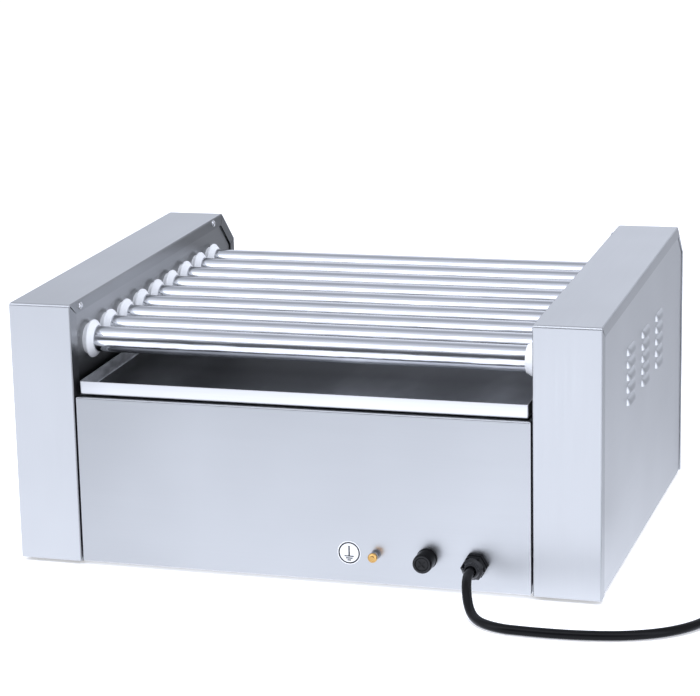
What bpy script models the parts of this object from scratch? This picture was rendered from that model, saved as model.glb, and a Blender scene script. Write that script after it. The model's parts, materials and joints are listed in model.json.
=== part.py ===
"""Countertop hot dog roller grill: nine driven rollers between two sheet-metal towers.

Frame: metres, +Z up. The operator stands at -Y and sees +X on the right. The mains cord
leaves at the rear, +Y. The origin is on the table under the middle of the machine.
"""

import math

import bmesh
import bpy
from mathutils import Matrix, Vector

# ---------------------------------------------------------------- driving dimensions
WIDTH = 0.580
DEPTH = 0.460
TOWER_WIDTH = 0.064
SKIRT_GAP = 0.004
REAR_HEIGHT = 0.2557
SLOPE = 0.0504
TOP_RUN = 0.4235
CHAMFER_DROP = 0.0332
SHEET = 0.0012
GAP = 0.0003

TOP_LIP = 0.012
REAR_LIP = 0.015
INNER_FRONT_LIP = 0.0125
OUTER_FRONT_LIP = 0.002
PANEL_INSET = 0.0027
INNER_PANEL_SETBACK = 0.0148
OUTER_PANEL_SETBACK = 0.0035

ROLLER_COUNT = 9
ROLLER_RADIUS = 0.0125
ROLLER_WALL = 0.0012
ROLLER_PITCH = 0.042
FIRST_ROLLER_SETBACK = 0.0445
FIRST_ROLLER_HEIGHT = 0.2183

BUSHING_BASE_RADIUS = 0.0185
BUSHING_NOSE_RADIUS = 0.0135
RIGHT_BUSHING_LENGTH = 0.0061
LEFT_BUSHING_LENGTH = 0.0105
BUSHING_RIM = 0.0015
BUSHING_STANDOFF = 0.0049
BUSHING_NECK_RADIUS = 0.0145
BUSHING_NECK_LENGTH = 0.004
RUNNING_CLEARANCE = 0.0003

CHAIN_PITCH = 0.009525
ROLLER_TEETH = 10
MOTOR_TEETH = 8
SPROCKET_WIDTH = 0.004
SPROCKET_PLANE = 0.238
TOOTH_HEIGHT = 0.0030
CHAIN_HEIGHT = 0.0080
CHAIN_WIDTH = 0.0070

TRAY_REAR_GAP = 0.005
TRAY_SIDE_GAP = 0.0045
TRAY_BASE_HEIGHT = 0.1710
TRAY_WALL_HEIGHT = 0.0134
TRAY_SHEET = 0.0010
TRAY_LENGTH = 0.4545

CABINET_GAP = 0.0014
REAR_PANEL_HEIGHT = 0.1695
CONTROL_PANEL_HEIGHT = 0.1905
PANEL_FLANGE = 0.012
BASE_FLOOR_HEIGHT = 0.0095
BASE_SETBACK = 0.0153
FOOT_RADIUS = 0.0065
FOOT_X = 0.2342
FOOT_Y = 0.2135

FITTING_HEIGHT = 0.033
GLAND_X = -0.1723
GLAND_HEIGHT = 0.0304
FUSE_X = -0.1254
STUD_X = -0.0754
SIGN_X = -0.0494
SIGN_RADIUS = 0.0115
SIGN_THICKNESS = 0.0004
FUSE_LENGTH = 0.0192
FUSE_SLOT_ANGLE = math.radians(42)
FUSE_SOCKET_RADIUS = 0.0062
GLAND_LENGTH = 0.0215
GLAND_NUT_LENGTH = 0.0135
GLAND_NUT_RADIUS = 0.0124

KNOB_X = 0.085
SWITCH_X = 0.185
KNOB_HEIGHT = 0.095
KNOB_PROTRUSION = 0.0195
KNOB_SHAFT_RADIUS = 0.0030
ROCKER_TILT = math.radians(8)
PIVOT_DEPTH = 0.0030

LOUVRE_COLUMNS = 3
LOUVRE_ROWS = 5
LOUVRE_COLUMN_PITCH = 0.0805
LOUVRE_ROW_PITCH = 0.0122
LOUVRE_FIRST_SETBACK = 0.1520
LOUVRE_TOP_HEIGHT = 0.2045
LOUVRE_LENGTH = 0.038
LOUVRE_HEIGHT = 0.0080
LOUVRE_SKIN = 0.0009
LOUVRE_REACH = 0.0032

SEGMENTS = 20
ARC_STEPS = 8

REAR = DEPTH / 2
FRONT = -DEPTH / 2
INNER_LIP_X = WIDTH / 2 - TOWER_WIDTH
INNER_PANEL_X = INNER_LIP_X + SHEET + GAP
OUTER_PANEL_X = WIDTH / 2 - SHEET - GAP
SLOPE_ANGLE = math.atan(SLOPE)

CORD_DIAMETER = 0.009
CORD_HEIGHT = GAP + CORD_DIAMETER / 2
COIL_CENTRE = (-0.454, 0.130)
COIL_RADIUS = 0.0475
COIL_CLEAR_RUN = 0.0325
PLUG_RADIUS = 0.0185
CORD_ROUTE = [
    (GLAND_X, REAR + GLAND_LENGTH + 5 * GAP, GLAND_HEIGHT), (GLAND_X, 0.2560, GLAND_HEIGHT),
    (-0.1729, 0.2656, 0.0290), (-0.1746, 0.2750, 0.0251), (-0.1770, 0.2832, 0.0191),
    (-0.1801, 0.2904, 0.0125), (-0.1847, 0.2984, 0.0077), (-0.1908, 0.3065, 0.0053),
    (-0.1981, 0.3139, CORD_HEIGHT), (-0.2067, 0.3197, CORD_HEIGHT),
    (-0.2164, 0.3236, CORD_HEIGHT), (-0.2268, 0.3256, CORD_HEIGHT),
    (-0.2600, 0.3266, CORD_HEIGHT), (-0.2950, 0.3240, CORD_HEIGHT),
    (-0.3300, 0.3157, CORD_HEIGHT), (-0.3620, 0.2980, CORD_HEIGHT),
    (-0.3850, 0.2710, CORD_HEIGHT), (-0.3970, 0.2370, CORD_HEIGHT),
    (-0.4015, 0.2000, CORD_HEIGHT),
    (COIL_CENTRE[0] + COIL_RADIUS + CORD_DIAMETER / 2, COIL_CENTRE[1] + COIL_CLEAR_RUN,
     CORD_HEIGHT),
]

MODEL = bpy.data.collections.new("hot_dog_roller_grill")
CUTTERS = bpy.data.collections.new("cutters")


# ---------------------------------------------------------------- scene and materials
def clear_scene():
    """Remove whatever objects the file opened with."""
    for old in list(bpy.data.objects):
        bpy.data.objects.remove(old, do_unlink=True)
    bpy.context.scene.collection.children.link(MODEL)
    bpy.context.scene.collection.children.link(CUTTERS)


def make_material(name, colour, roughness, metallic):
    """Principled material with the piece's own colour."""
    material = bpy.data.materials.new(name)
    material.use_nodes = True
    shader = material.node_tree.nodes["Principled BSDF"]
    shader.inputs["Base Color"].default_value = (*colour, 1.0)
    shader.inputs["Roughness"].default_value = roughness
    shader.inputs["Metallic"].default_value = metallic
    material.diffuse_color = (*colour, 1.0)
    return material


def stainless():
    return make_material("stainless_sheet", (0.62, 0.64, 0.66), 0.38, 1.0)


def rear_sheet():
    return make_material("rear_sheet", (0.60, 0.62, 0.64), 0.45, 1.0)


def side_sheet():
    return make_material("side_sheet", (0.50, 0.52, 0.54), 0.42, 1.0)


def polished_tube():
    return make_material("polished_tube", (0.80, 0.81, 0.82), 0.08, 1.0)


def tray_steel():
    return make_material("tray_steel", (0.55, 0.56, 0.58), 0.28, 1.0)


def white_plastic():
    return make_material("white_plastic", (0.86, 0.86, 0.85), 0.45, 0.0)


def black_plastic():
    return make_material("black_plastic", (0.02, 0.02, 0.022), 0.45, 0.0)


def black_rubber():
    return make_material("black_rubber", (0.03, 0.03, 0.03), 0.75, 0.0)


def red_plastic():
    return make_material("red_plastic", (0.55, 0.03, 0.02), 0.35, 0.0)


def brass():
    return make_material("brass", (0.70, 0.48, 0.20), 0.30, 1.0)


def dark_steel():
    return make_material("dark_steel", (0.24, 0.24, 0.25), 0.40, 1.0)


def galvanised():
    return make_material("galvanised", (0.52, 0.53, 0.54), 0.50, 1.0)


# ---------------------------------------------------------------- modelling helpers
def place(name, mesh, material=None, cutter=False):
    """Object from a mesh, in the model's collection or among the cutters."""
    obj = bpy.data.objects.new(name, mesh)
    if cutter:
        CUTTERS.objects.link(obj)
        obj.hide_render = True
        obj.display_type = "WIRE"
        return obj
    MODEL.objects.link(obj)
    mesh.materials.clear()
    mesh.materials.append(material)
    return obj


def mesh_from(name, bm):
    mesh = bpy.data.meshes.new(name)
    bm.to_mesh(mesh)
    bm.free()
    return mesh


def add_box(bm, low, high):
    """Axis-aligned box between two corners."""
    low = Vector(low)
    high = Vector(high)
    size = high - low
    matrix = Matrix.Translation((low + high) / 2) @ Matrix.Diagonal((*size, 1.0))
    return bmesh.ops.create_cube(bm, size=1.0, matrix=matrix)["verts"]


def add_cylinder(bm, start, end, radius, segments=SEGMENTS, end_radius=None):
    """Capped cylinder or cone from one point to another."""
    start = Vector(start)
    end = Vector(end)
    along = end - start
    turn = along.to_track_quat("Z", "Y").to_matrix().to_4x4()
    matrix = Matrix.Translation((start + end) / 2) @ turn
    tip = radius if end_radius is None else end_radius
    bmesh.ops.create_cone(bm, cap_ends=True, segments=segments, radius1=radius,
                          radius2=tip, depth=along.length, matrix=matrix)


def box_object(name, low, high, material=None, cutter=False):
    bm = bmesh.new()
    add_box(bm, low, high)
    return place(name, mesh_from(name, bm), material, cutter)


def boolean(obj, other, operation="DIFFERENCE"):
    """Boolean with another object, which stays among the cutters."""
    modifier = obj.modifiers.new(other.name, "BOOLEAN")
    modifier.object = other
    modifier.operation = operation
    modifier.solver = "EXACT"


def outline_mesh(name, outlines, thickness):
    """Flat outline in local XY, thickened about Z. Outlines after the first are holes."""
    curve = bpy.data.curves.new(name, "CURVE")
    curve.dimensions = "2D"
    curve.fill_mode = "BOTH"
    curve.extrude = thickness / 2
    for points in outlines:
        spline = curve.splines.new("POLY")
        spline.points.add(len(points) - 1)
        spline.use_cyclic_u = True
        for spot, (x, y) in zip(spline.points, points):
            spot.co = (x, y, 0.0, 1.0)
    holder = bpy.data.objects.new(name, curve)
    bpy.context.scene.collection.objects.link(holder)
    graph = bpy.context.evaluated_depsgraph_get()
    mesh = bpy.data.meshes.new_from_object(holder.evaluated_get(graph))
    bpy.data.objects.remove(holder, do_unlink=True)
    bm = bmesh.new()
    bm.from_mesh(mesh)
    bmesh.ops.remove_doubles(bm, verts=bm.verts, dist=1e-6)
    bm.to_mesh(mesh)
    bm.free()
    return mesh


def side_plate(name, outlines, low_x, high_x, material=None, cutter=False):
    """Plate whose outlines are (y, z) pairs, between two x values."""
    mesh = outline_mesh(name, outlines, high_x - low_x)
    turn = Matrix(((0, 0, 1, 0), (1, 0, 0, 0), (0, 1, 0, 0), (0, 0, 0, 1)))
    mesh.transform(Matrix.Translation(((low_x + high_x) / 2, 0, 0)) @ turn)
    return place(name, mesh, material, cutter)


def circle_points(y, z, radius, count=SEGMENTS, phase=0.0):
    """Points of a circle, counter-clockwise."""
    step = math.tau / count
    return [(y + radius * math.cos(phase + step * i), z + radius * math.sin(phase + step * i))
            for i in range(count)]


def turned(name, profile, material=None, closed=False, cutter=False):
    """Body turned about local Z from (radius, height) points, outer side top to bottom."""
    mesh = bpy.data.meshes.new(name)
    points = [(radius, 0.0, height) for radius, height in profile]
    edges = [(i, i + 1) for i in range(len(points) - 1)]
    if closed:
        edges.append((len(points) - 1, 0))
    mesh.from_pydata(points, edges, [])
    obj = place(name, mesh, material, cutter)
    screw = obj.modifiers.new("turn", "SCREW")
    screw.axis = "Z"
    screw.steps = SEGMENTS
    screw.render_steps = SEGMENTS
    screw.use_merge_vertices = True
    screw.merge_threshold = 0.00001
    screw.use_smooth_shade = True
    return obj


def point_along(obj, direction, location):
    """Turn local Z to a direction and set the location."""
    obj.rotation_euler = Vector(direction).to_track_quat("Z", "Y").to_euler()
    obj.location = location


def inset_outline(points, distances):
    """Outline inside a convex one, each side moved in by its own distance."""
    centre = sum((Vector(p) for p in points), Vector((0, 0))) / len(points)
    lines = []
    for i, point in enumerate(points):
        start = Vector(point)
        along = (Vector(points[(i + 1) % len(points)]) - start).normalized()
        normal = Vector((-along.y, along.x))
        if normal.dot(centre - start) < 0:
            normal = -normal
        lines.append((start + normal * distances[i], along))
    result = []
    for i in range(len(points)):
        start_a, along_a = lines[i - 1]
        start_b, along_b = lines[i]
        cross = along_a.x * along_b.y - along_a.y * along_b.x
        offset = start_b - start_a
        reach = (offset.x * along_b.y - offset.y * along_b.x) / cross
        result.append(tuple(start_a + along_a * reach))
    return result


def tower_outline():
    """Side view of a tower as (y, z): rear bottom, rear top, chamfer top and bottom, front."""
    rear_top = SKIRT_GAP + REAR_HEIGHT
    front_top = rear_top + SLOPE * TOP_RUN
    return [(REAR, SKIRT_GAP), (REAR, rear_top), (REAR - TOP_RUN, front_top),
            (FRONT, front_top - CHAMFER_DROP), (FRONT, SKIRT_GAP)]


def tower_inset(rear, top, front):
    """Tower outline moved in at its rear, top, and chamfer and front edges."""
    return inset_outline(tower_outline(), [rear, top, front, front, 0.0])


def with_bottom(points, height):
    """The same outline with its two lowest points moved to a height."""
    return [(points[0][0], height), *points[1:-1], (points[-1][0], height)]


def roller_centre(index):
    """(y, z) of a roller's axis, counted from the rear."""
    run = ROLLER_PITCH * index
    return REAR - FIRST_ROLLER_SETBACK - run, FIRST_ROLLER_HEIGHT + SLOPE * run


# ---------------------------------------------------------------- towers
def make_wrap(side, sign):
    """Folded strip over a tower, with lips turned in along both of its sides."""
    low, high = sorted((sign * INNER_LIP_X, sign * WIDTH / 2))
    wrap = side_plate(f"{side}_tower_wrap", [tower_outline()], low, high, stainless())
    cavity = with_bottom(tower_inset(SHEET, SHEET, SHEET), -SKIRT_GAP)
    hollow = side_plate(f"{side}_wrap_hollow", [cavity], low + SHEET, high - SHEET, cutter=True)
    boolean(wrap, hollow)
    middle = (low + high) / 2
    for place_name, edge, front_lip in (("inner", sign * INNER_LIP_X, INNER_FRONT_LIP),
                                        ("outer", sign * WIDTH / 2, OUTER_FRONT_LIP)):
        window = with_bottom(tower_inset(REAR_LIP, TOP_LIP, front_lip), -SKIRT_GAP)
        outside = edge + math.copysign(SHEET, edge - middle)
        start, end = sorted((middle, outside))
        boolean(wrap, side_plate(f"{side}_{place_name}_window", [window], start, end, cutter=True))


def make_inner_panel(side, sign):
    """Panel that carries the bushings."""
    low, high = sorted((sign * INNER_PANEL_X, sign * (INNER_PANEL_X + SHEET)))
    outline = tower_inset(PANEL_INSET, PANEL_INSET, INNER_PANEL_SETBACK)
    outline = with_bottom(outline, BASE_FLOOR_HEIGHT + SHEET + GAP)
    holes = []
    for index in range(ROLLER_COUNT):
        y, z = roller_centre(index)
        holes.append(circle_points(y, z, BUSHING_NECK_RADIUS + GAP))
    side_plate(f"{side}_inner_panel", [outline, *holes], low, high, stainless())


def louvre_places():
    """(y, z) of the lower middle of every louvre."""
    for column in range(LOUVRE_COLUMNS):
        for row in range(LOUVRE_ROWS):
            y = REAR - LOUVRE_FIRST_SETBACK - LOUVRE_COLUMN_PITCH * column
            yield y, LOUVRE_TOP_HEIGHT - LOUVRE_ROW_PITCH * row


def louvre_hoods(name, sign, shrink, root, base_drop):
    """All hoods of a panel as tapered blocks: wide at the sheet, narrow and low outside."""
    bm = bmesh.new()
    face = sign * OUTER_PANEL_X
    for y, z in louvre_places():
        half = LOUVRE_LENGTH / 2 - shrink
        low = (0.0, y - half, z - base_drop)
        high = (1.0, y + half, z + LOUVRE_HEIGHT - shrink)
        for vert in add_box(bm, low, high):
            outside = vert.co.x > 0.5
            if outside:
                vert.co.y = y + (vert.co.y - y) * 0.86
                if vert.co.z > z:
                    vert.co.z = z + (LOUVRE_HEIGHT - shrink) * 0.45
            depth = LOUVRE_REACH - shrink if outside else -root
            vert.co.x = face + sign * depth
    if sign < 0:
        bmesh.ops.reverse_faces(bm, faces=bm.faces)
    return place(name, mesh_from(name, bm), cutter=True)


def make_outer_panel(side, sign):
    """Louvred cover on a tower's outer side."""
    low, high = sorted((sign * (OUTER_PANEL_X - SHEET), sign * OUTER_PANEL_X))
    outline = tower_inset(PANEL_INSET, PANEL_INSET, OUTER_PANEL_SETBACK)
    outline = with_bottom(outline, SKIRT_GAP + GAP)
    panel = side_plate(f"{side}_outer_panel", [outline], low, high, side_sheet())
    boolean(panel, louvre_hoods(f"{side}_louvre_skin", sign, 0.0, SHEET / 2, 0.0), "UNION")
    boolean(panel, louvre_hoods(f"{side}_louvre_hollow", sign, LOUVRE_SKIN, 2 * SHEET, LOUVRE_SKIN))


# ---------------------------------------------------------------- cabinet
def make_base_pan():
    """Flat floor of the machine, under both towers and the cabinet."""
    half = OUTER_PANEL_X - SHEET - GAP
    reach = REAR - BASE_SETBACK
    box_object("base_pan", (-half, -reach, BASE_FLOOR_HEIGHT),
               (half, reach, BASE_FLOOR_HEIGHT + SHEET), galvanised())


def folded_panel(name, face_y, inward, top, material):
    """Cabinet panel with flanges folded inward on all four edges."""
    half = INNER_LIP_X - CABINET_GAP
    back = face_y + inward * PANEL_FLANGE
    low_y, high_y = sorted((face_y, back))
    panel = box_object(name, (-half, low_y, SKIRT_GAP + GAP), (half, high_y, top), material)
    inner_low, inner_high = sorted((face_y + inward * SHEET, back + inward * SHEET))
    hollow = box_object(f"{name}_hollow", (-half + SHEET, inner_low, SKIRT_GAP + GAP + SHEET),
                        (half - SHEET, inner_high, top - SHEET), cutter=True)
    boolean(panel, hollow)
    return panel


def panel_holes(name, places, face_y):
    """Round holes through a panel, as one cutter."""
    bm = bmesh.new()
    for x, z, radius in places:
        add_cylinder(bm, (x, face_y - 0.004, z), (x, face_y + 0.004, z), radius)
    return place(name, mesh_from(name, bm), cutter=True)


def make_rear_panel():
    panel = folded_panel("rear_panel", REAR - GAP, -1, REAR_PANEL_HEIGHT, rear_sheet())
    holes = [(GLAND_X, GLAND_HEIGHT, 0.0080), (FUSE_X, FITTING_HEIGHT, 0.0065),
             (STUD_X, FITTING_HEIGHT, 0.0028)]
    boolean(panel, panel_holes("rear_panel_holes", holes, REAR))


def make_control_panel():
    panel = folded_panel("control_panel", FRONT + GAP, 1, CONTROL_PANEL_HEIGHT, stainless())
    holes = [(sign * KNOB_X, KNOB_HEIGHT, 0.0040) for sign in (-1, 1)]
    boolean(panel, panel_holes("control_panel_holes", holes, FRONT))
    bm = bmesh.new()
    for sign in (-1, 1):
        middle = Vector((sign * SWITCH_X, FRONT, KNOB_HEIGHT))
        reach = Vector((0.0095, 0.004, 0.0140))
        add_box(bm, middle - reach, middle + reach)
    boolean(panel, place("switch_windows", mesh_from("switch_windows", bm), cutter=True))


def make_deck_plate():
    """Sloping shelf that the tray slides on."""
    half = INNER_LIP_X - CABINET_GAP
    reach = REAR - PANEL_FLANGE - 3 * GAP
    bm = bmesh.new()
    for vert in add_box(bm, (-half, -reach, -SHEET), (half, reach, 0.0)):
        vert.co.z += REAR_PANEL_HEIGHT - 2 * GAP + SLOPE * (REAR - vert.co.y)
    place("deck_plate", mesh_from("deck_plate", bm), galvanised())


def make_foot(name, x, y):
    """Low rubber foot under the base pan."""
    top = BASE_FLOOR_HEIGHT - GAP
    tread = FOOT_RADIUS - 0.0009
    profile = [(0.0, top), (FOOT_RADIUS, top), (tread, 0.0), (0.0, 0.0)]
    foot = turned(name, profile, black_rubber())
    foot.location = (x, y, 0.0)


def make_drip_tray():
    """Shallow tray on the sloping shelf, with a folded pull along its front."""
    half = INNER_LIP_X - TRAY_SIDE_GAP
    tray = box_object("drip_tray", (-half, -TRAY_LENGTH, 0.0), (half, 0.0, TRAY_WALL_HEIGHT),
                      tray_steel())
    hollow = box_object("tray_hollow", (-half + TRAY_SHEET, -TRAY_LENGTH + TRAY_SHEET, TRAY_SHEET),
                        (half - TRAY_SHEET, -TRAY_SHEET, 2 * TRAY_WALL_HEIGHT), cutter=True)
    front = -TRAY_LENGTH
    pull = [(front + TRAY_SHEET / 2, TRAY_WALL_HEIGHT - TRAY_SHEET),
            (front + TRAY_SHEET / 2, TRAY_WALL_HEIGHT), (front - 0.012, TRAY_WALL_HEIGHT),
            (front - 0.012, TRAY_WALL_HEIGHT - 0.008),
            (front - 0.012 + TRAY_SHEET, TRAY_WALL_HEIGHT - 0.008),
            (front - 0.012 + TRAY_SHEET, TRAY_WALL_HEIGHT - TRAY_SHEET)]
    handle = side_plate("tray_pull", [pull], -half, half, cutter=True)
    boolean(tray, handle, "UNION")
    boolean(tray, hollow)
    base = Vector((0.0, REAR - TRAY_REAR_GAP, TRAY_BASE_HEIGHT))
    for piece in (tray, hollow, handle):
        piece.rotation_euler = (-SLOPE_ANGLE, 0.0, 0.0)
        piece.location = base


# ---------------------------------------------------------------- rollers and drive
def pitch_radius(teeth):
    return CHAIN_PITCH / (2 * math.sin(math.pi / teeth))


def tip_radius(teeth):
    return pitch_radius(teeth) + TOOTH_HEIGHT / 2


def sprocket_outline(teeth):
    """Toothed outline: four points to a tooth, about the origin."""
    tip = tip_radius(teeth)
    root = tip - TOOTH_HEIGHT
    step = math.tau / teeth
    points = []
    for tooth in range(teeth):
        for part, radius in ((-0.30, root), (-0.12, tip), (0.12, tip), (0.30, root)):
            angle = step * (tooth + part)
            points.append((radius * math.cos(angle), radius * math.sin(angle)))
    return points


def make_roller(index, sprocket_mesh):
    """Tube with its drive sprocket pressed on near the right-hand end."""
    y, z = roller_centre(index)
    right = INNER_PANEL_X + 0.019
    left = -INNER_PANEL_X - 0.010
    inner = ROLLER_RADIUS - ROLLER_WALL
    profile = [(ROLLER_RADIUS, right), (ROLLER_RADIUS, left), (inner, left), (inner, right)]
    roller = turned(f"roller_{index + 1}", profile, polished_tube(), closed=True)
    point_along(roller, (1, 0, 0), (0.0, y, z))
    ring = place(f"sprocket_{index + 1}", sprocket_mesh, cutter=True)
    point_along(ring, (1, 0, 0), (SPROCKET_PLANE, y, z))
    boolean(roller, ring, "UNION")


def make_bushing(name, sign, index):
    """White bushing: a cone on the tower's inner face and a neck through the panel."""
    y, z = roller_centre(index)
    bore = ROLLER_RADIUS + RUNNING_CLEARANCE
    length = RIGHT_BUSHING_LENGTH if sign > 0 else LEFT_BUSHING_LENGTH
    nose = BUSHING_STANDOFF + length
    tail = -SHEET - BUSHING_NECK_LENGTH
    rim = BUSHING_STANDOFF + BUSHING_RIM
    profile = [(BUSHING_NOSE_RADIUS, nose), (BUSHING_BASE_RADIUS, rim),
               (BUSHING_BASE_RADIUS, BUSHING_STANDOFF), (BUSHING_NECK_RADIUS, BUSHING_STANDOFF),
               (BUSHING_NECK_RADIUS, tail), (bore, tail), (bore, nose)]
    bushing = turned(name, profile, white_plastic(), closed=True)
    point_along(bushing, (-sign, 0, 0), (sign * INNER_PANEL_X, y, z))


def loop_outline(first, last, radius):
    """Racetrack around two (y, z) centres, the first one at the rear."""
    start = Vector(first)
    end = Vector(last)
    heading = math.atan2(end.y - start.y, end.x - start.x)
    points = []
    for centre, turn in ((end, -math.pi / 2), (start, math.pi / 2)):
        for i in range(ARC_STEPS + 1):
            angle = heading + turn + math.pi * i / ARC_STEPS
            points.append((centre.x + radius * math.cos(angle),
                           centre.y + radius * math.sin(angle)))
    return points


def motor_centre():
    """(y, z) of the motor's shaft: its sprocket meets the chain's lower run."""
    y, z = roller_centre(6)
    reach = tip_radius(ROLLER_TEETH) + CHAIN_HEIGHT + tip_radius(MOTOR_TEETH) + 3 * GAP
    return (y - reach * math.sin(SLOPE_ANGLE), z - reach * math.cos(SLOPE_ANGLE))


def make_chain():
    """Drive chain as one band around all the roller sprockets."""
    inside = (tip_radius(ROLLER_TEETH) + GAP) / math.cos(math.pi / (2 * ARC_STEPS))
    first = roller_centre(0)
    last = roller_centre(ROLLER_COUNT - 1)
    outlines = [loop_outline(first, last, inside + CHAIN_HEIGHT - GAP),
                loop_outline(first, last, inside)]
    half = CHAIN_WIDTH / 2
    side_plate("drive_chain", outlines, SPROCKET_PLANE - half, SPROCKET_PLANE + half, dark_steel())


def make_motor_sprocket():
    """Small sprocket and its stub shaft."""
    mesh = outline_mesh("motor_sprocket", [sprocket_outline(MOTOR_TEETH)], SPROCKET_WIDTH)
    sprocket = place("motor_sprocket", mesh, dark_steel())
    y, z = motor_centre()
    point_along(sprocket, (1, 0, 0), (SPROCKET_PLANE, y, z))
    bm = bmesh.new()
    add_cylinder(bm, (SPROCKET_PLANE, y, z), (SPROCKET_PLANE + 0.0082, y, z), 0.0045, 12)
    boolean(sprocket, place("motor_shaft", mesh_from("motor_shaft", bm), cutter=True), "UNION")


def make_gear_motor():
    """Gearbox with the motor can behind it, on four posts from the inner panel."""
    y, z = motor_centre()
    box_face = SPROCKET_PLANE + 0.0085
    low = (box_face, y - 0.032, z - 0.040)
    high = (box_face + 0.016, y + 0.032, z + 0.014)
    motor = box_object("gear_motor", low, high, dark_steel())
    bm = bmesh.new()
    add_cylinder(bm, (box_face + 0.010, y, z - 0.013), (box_face + 0.0385, y, z - 0.013), 0.024)
    boolean(motor, place("motor_can", mesh_from("motor_can", bm), cutter=True), "UNION")
    bm = bmesh.new()
    for across in (-0.027, 0.027):
        for up in (-0.035, 0.0):
            start = (INNER_PANEL_X + SHEET + GAP, y + across, z + up)
            add_cylinder(bm, start, (box_face + 0.004, y + across, z + up), 0.0035, 10)
    boolean(motor, place("motor_posts", mesh_from("motor_posts", bm), cutter=True), "UNION")


# ---------------------------------------------------------------- rear fittings
def make_cable_gland():
    """Hexagonal gland with a domed clamping nut."""
    face = REAR + GAP
    nut_end = face + GLAND_NUT_LENGTH
    bm = bmesh.new()
    middle = Vector((GLAND_X, nut_end, GLAND_HEIGHT))
    add_cylinder(bm, (GLAND_X, face, GLAND_HEIGHT), middle, GLAND_NUT_RADIUS, 6)
    bmesh.ops.rotate(bm, verts=bm.verts, cent=middle,
                     matrix=Matrix.Rotation(math.radians(30), 3, "Y"))
    gland = place("cable_gland", mesh_from("cable_gland", bm), black_plastic())
    profile = [(0.0, GLAND_LENGTH), (0.0062, GLAND_LENGTH), (0.0074, GLAND_LENGTH - 0.0020),
               (0.0079, GLAND_NUT_LENGTH + 0.0030), (0.0104, GLAND_NUT_LENGTH + 0.0005),
               (0.0104, 0.0050), (0.0076, 0.0050), (0.0076, -0.0110), (0.0, -0.0110)]
    core = turned("gland_core", profile, cutter=True)
    point_along(core, (0, 1, 0), (GLAND_X, face, GLAND_HEIGHT))
    boolean(gland, core, "UNION")


def make_fuse_holder():
    """Round fuse holder with a socket for its cap."""
    face = FUSE_LENGTH
    profile = [(FUSE_SOCKET_RADIUS, face), (0.0090, face), (0.0096, face - 0.0010),
               (0.0099, 0.0), (0.0060, 0.0), (0.0060, -0.0260), (0.0, -0.0260),
               (0.0, 0.0060), (0.0042, 0.0060), (0.0042, face - 0.0040),
               (FUSE_SOCKET_RADIUS, face - 0.0040)]
    holder = turned("fuse_holder", profile, black_plastic(), closed=True)
    point_along(holder, (0, 1, 0), (FUSE_X, REAR + GAP, FITTING_HEIGHT))


def make_fuse_cap():
    """Cap of the fuse holder: its head fills the socket, and a cross slot turns it."""
    head = FUSE_SOCKET_RADIUS - GAP
    face = FUSE_LENGTH - 0.0006
    seat = FUSE_LENGTH - 0.0037
    profile = [(0.0, face), (head, face), (head, seat), (0.0038, seat), (0.0038, 0.0064),
               (0.0, 0.0064)]
    cap = turned("fuse_cap", profile, black_plastic())
    point_along(cap, (0, 1, 0), (FUSE_X, REAR + GAP, FITTING_HEIGHT))
    middle = Vector((FUSE_X, REAR + GAP + face, FITTING_HEIGHT))
    for name, long_x, long_z in (("slot_across", 0.0042, 0.0006), ("slot_upright", 0.0006, 0.0042)):
        reach = Vector((long_x, 0.0012, long_z))
        slot = box_object(name, -reach, reach, cutter=True)
        slot.rotation_euler = (0.0, FUSE_SLOT_ANGLE, 0.0)
        slot.location = middle
        boolean(cap, slot)


def make_earth_stud():
    """Brass earth screw with its nut and washer."""
    profile = [(0.0, 0.0130), (0.0034, 0.0130), (0.0047, 0.0112), (0.0047, 0.0088),
               (0.0026, 0.0088), (0.0026, 0.0050), (0.0040, 0.0050), (0.0040, 0.0010),
               (0.0046, 0.0010), (0.0046, 0.0), (0.0025, 0.0), (0.0025, -0.0080),
               (0.0, -0.0080)]
    stud = turned("earth_stud", profile, brass())
    point_along(stud, (0, 1, 0), (STUD_X, REAR + GAP, FITTING_HEIGHT))


def make_earth_sign():
    """Thin round sign beside the earth screw."""
    profile = [(0.0, SIGN_THICKNESS), (SIGN_RADIUS, SIGN_THICKNESS), (SIGN_RADIUS, 0.0),
               (0.0, 0.0)]
    sign = turned("earth_sign", profile, white_plastic())
    point_along(sign, (0, 1, 0), (SIGN_X, REAR - GAP / 2, FITTING_HEIGHT))


# ---------------------------------------------------------------- controls
def make_knob(name, x):
    """Heat knob with a shaft through the panel and a pointer ridge."""
    profile = [(0.0, KNOB_PROTRUSION), (0.0150, KNOB_PROTRUSION), (0.0170, 0.0170),
               (0.0180, 0.0035), (0.0225, 0.0010), (0.0225, GAP), (KNOB_SHAFT_RADIUS, GAP),
               (KNOB_SHAFT_RADIUS, -0.0180), (0.0, -0.0180)]
    knob = turned(name, profile, black_plastic())
    point_along(knob, (0, -1, 0), (x, FRONT, KNOB_HEIGHT))


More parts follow.
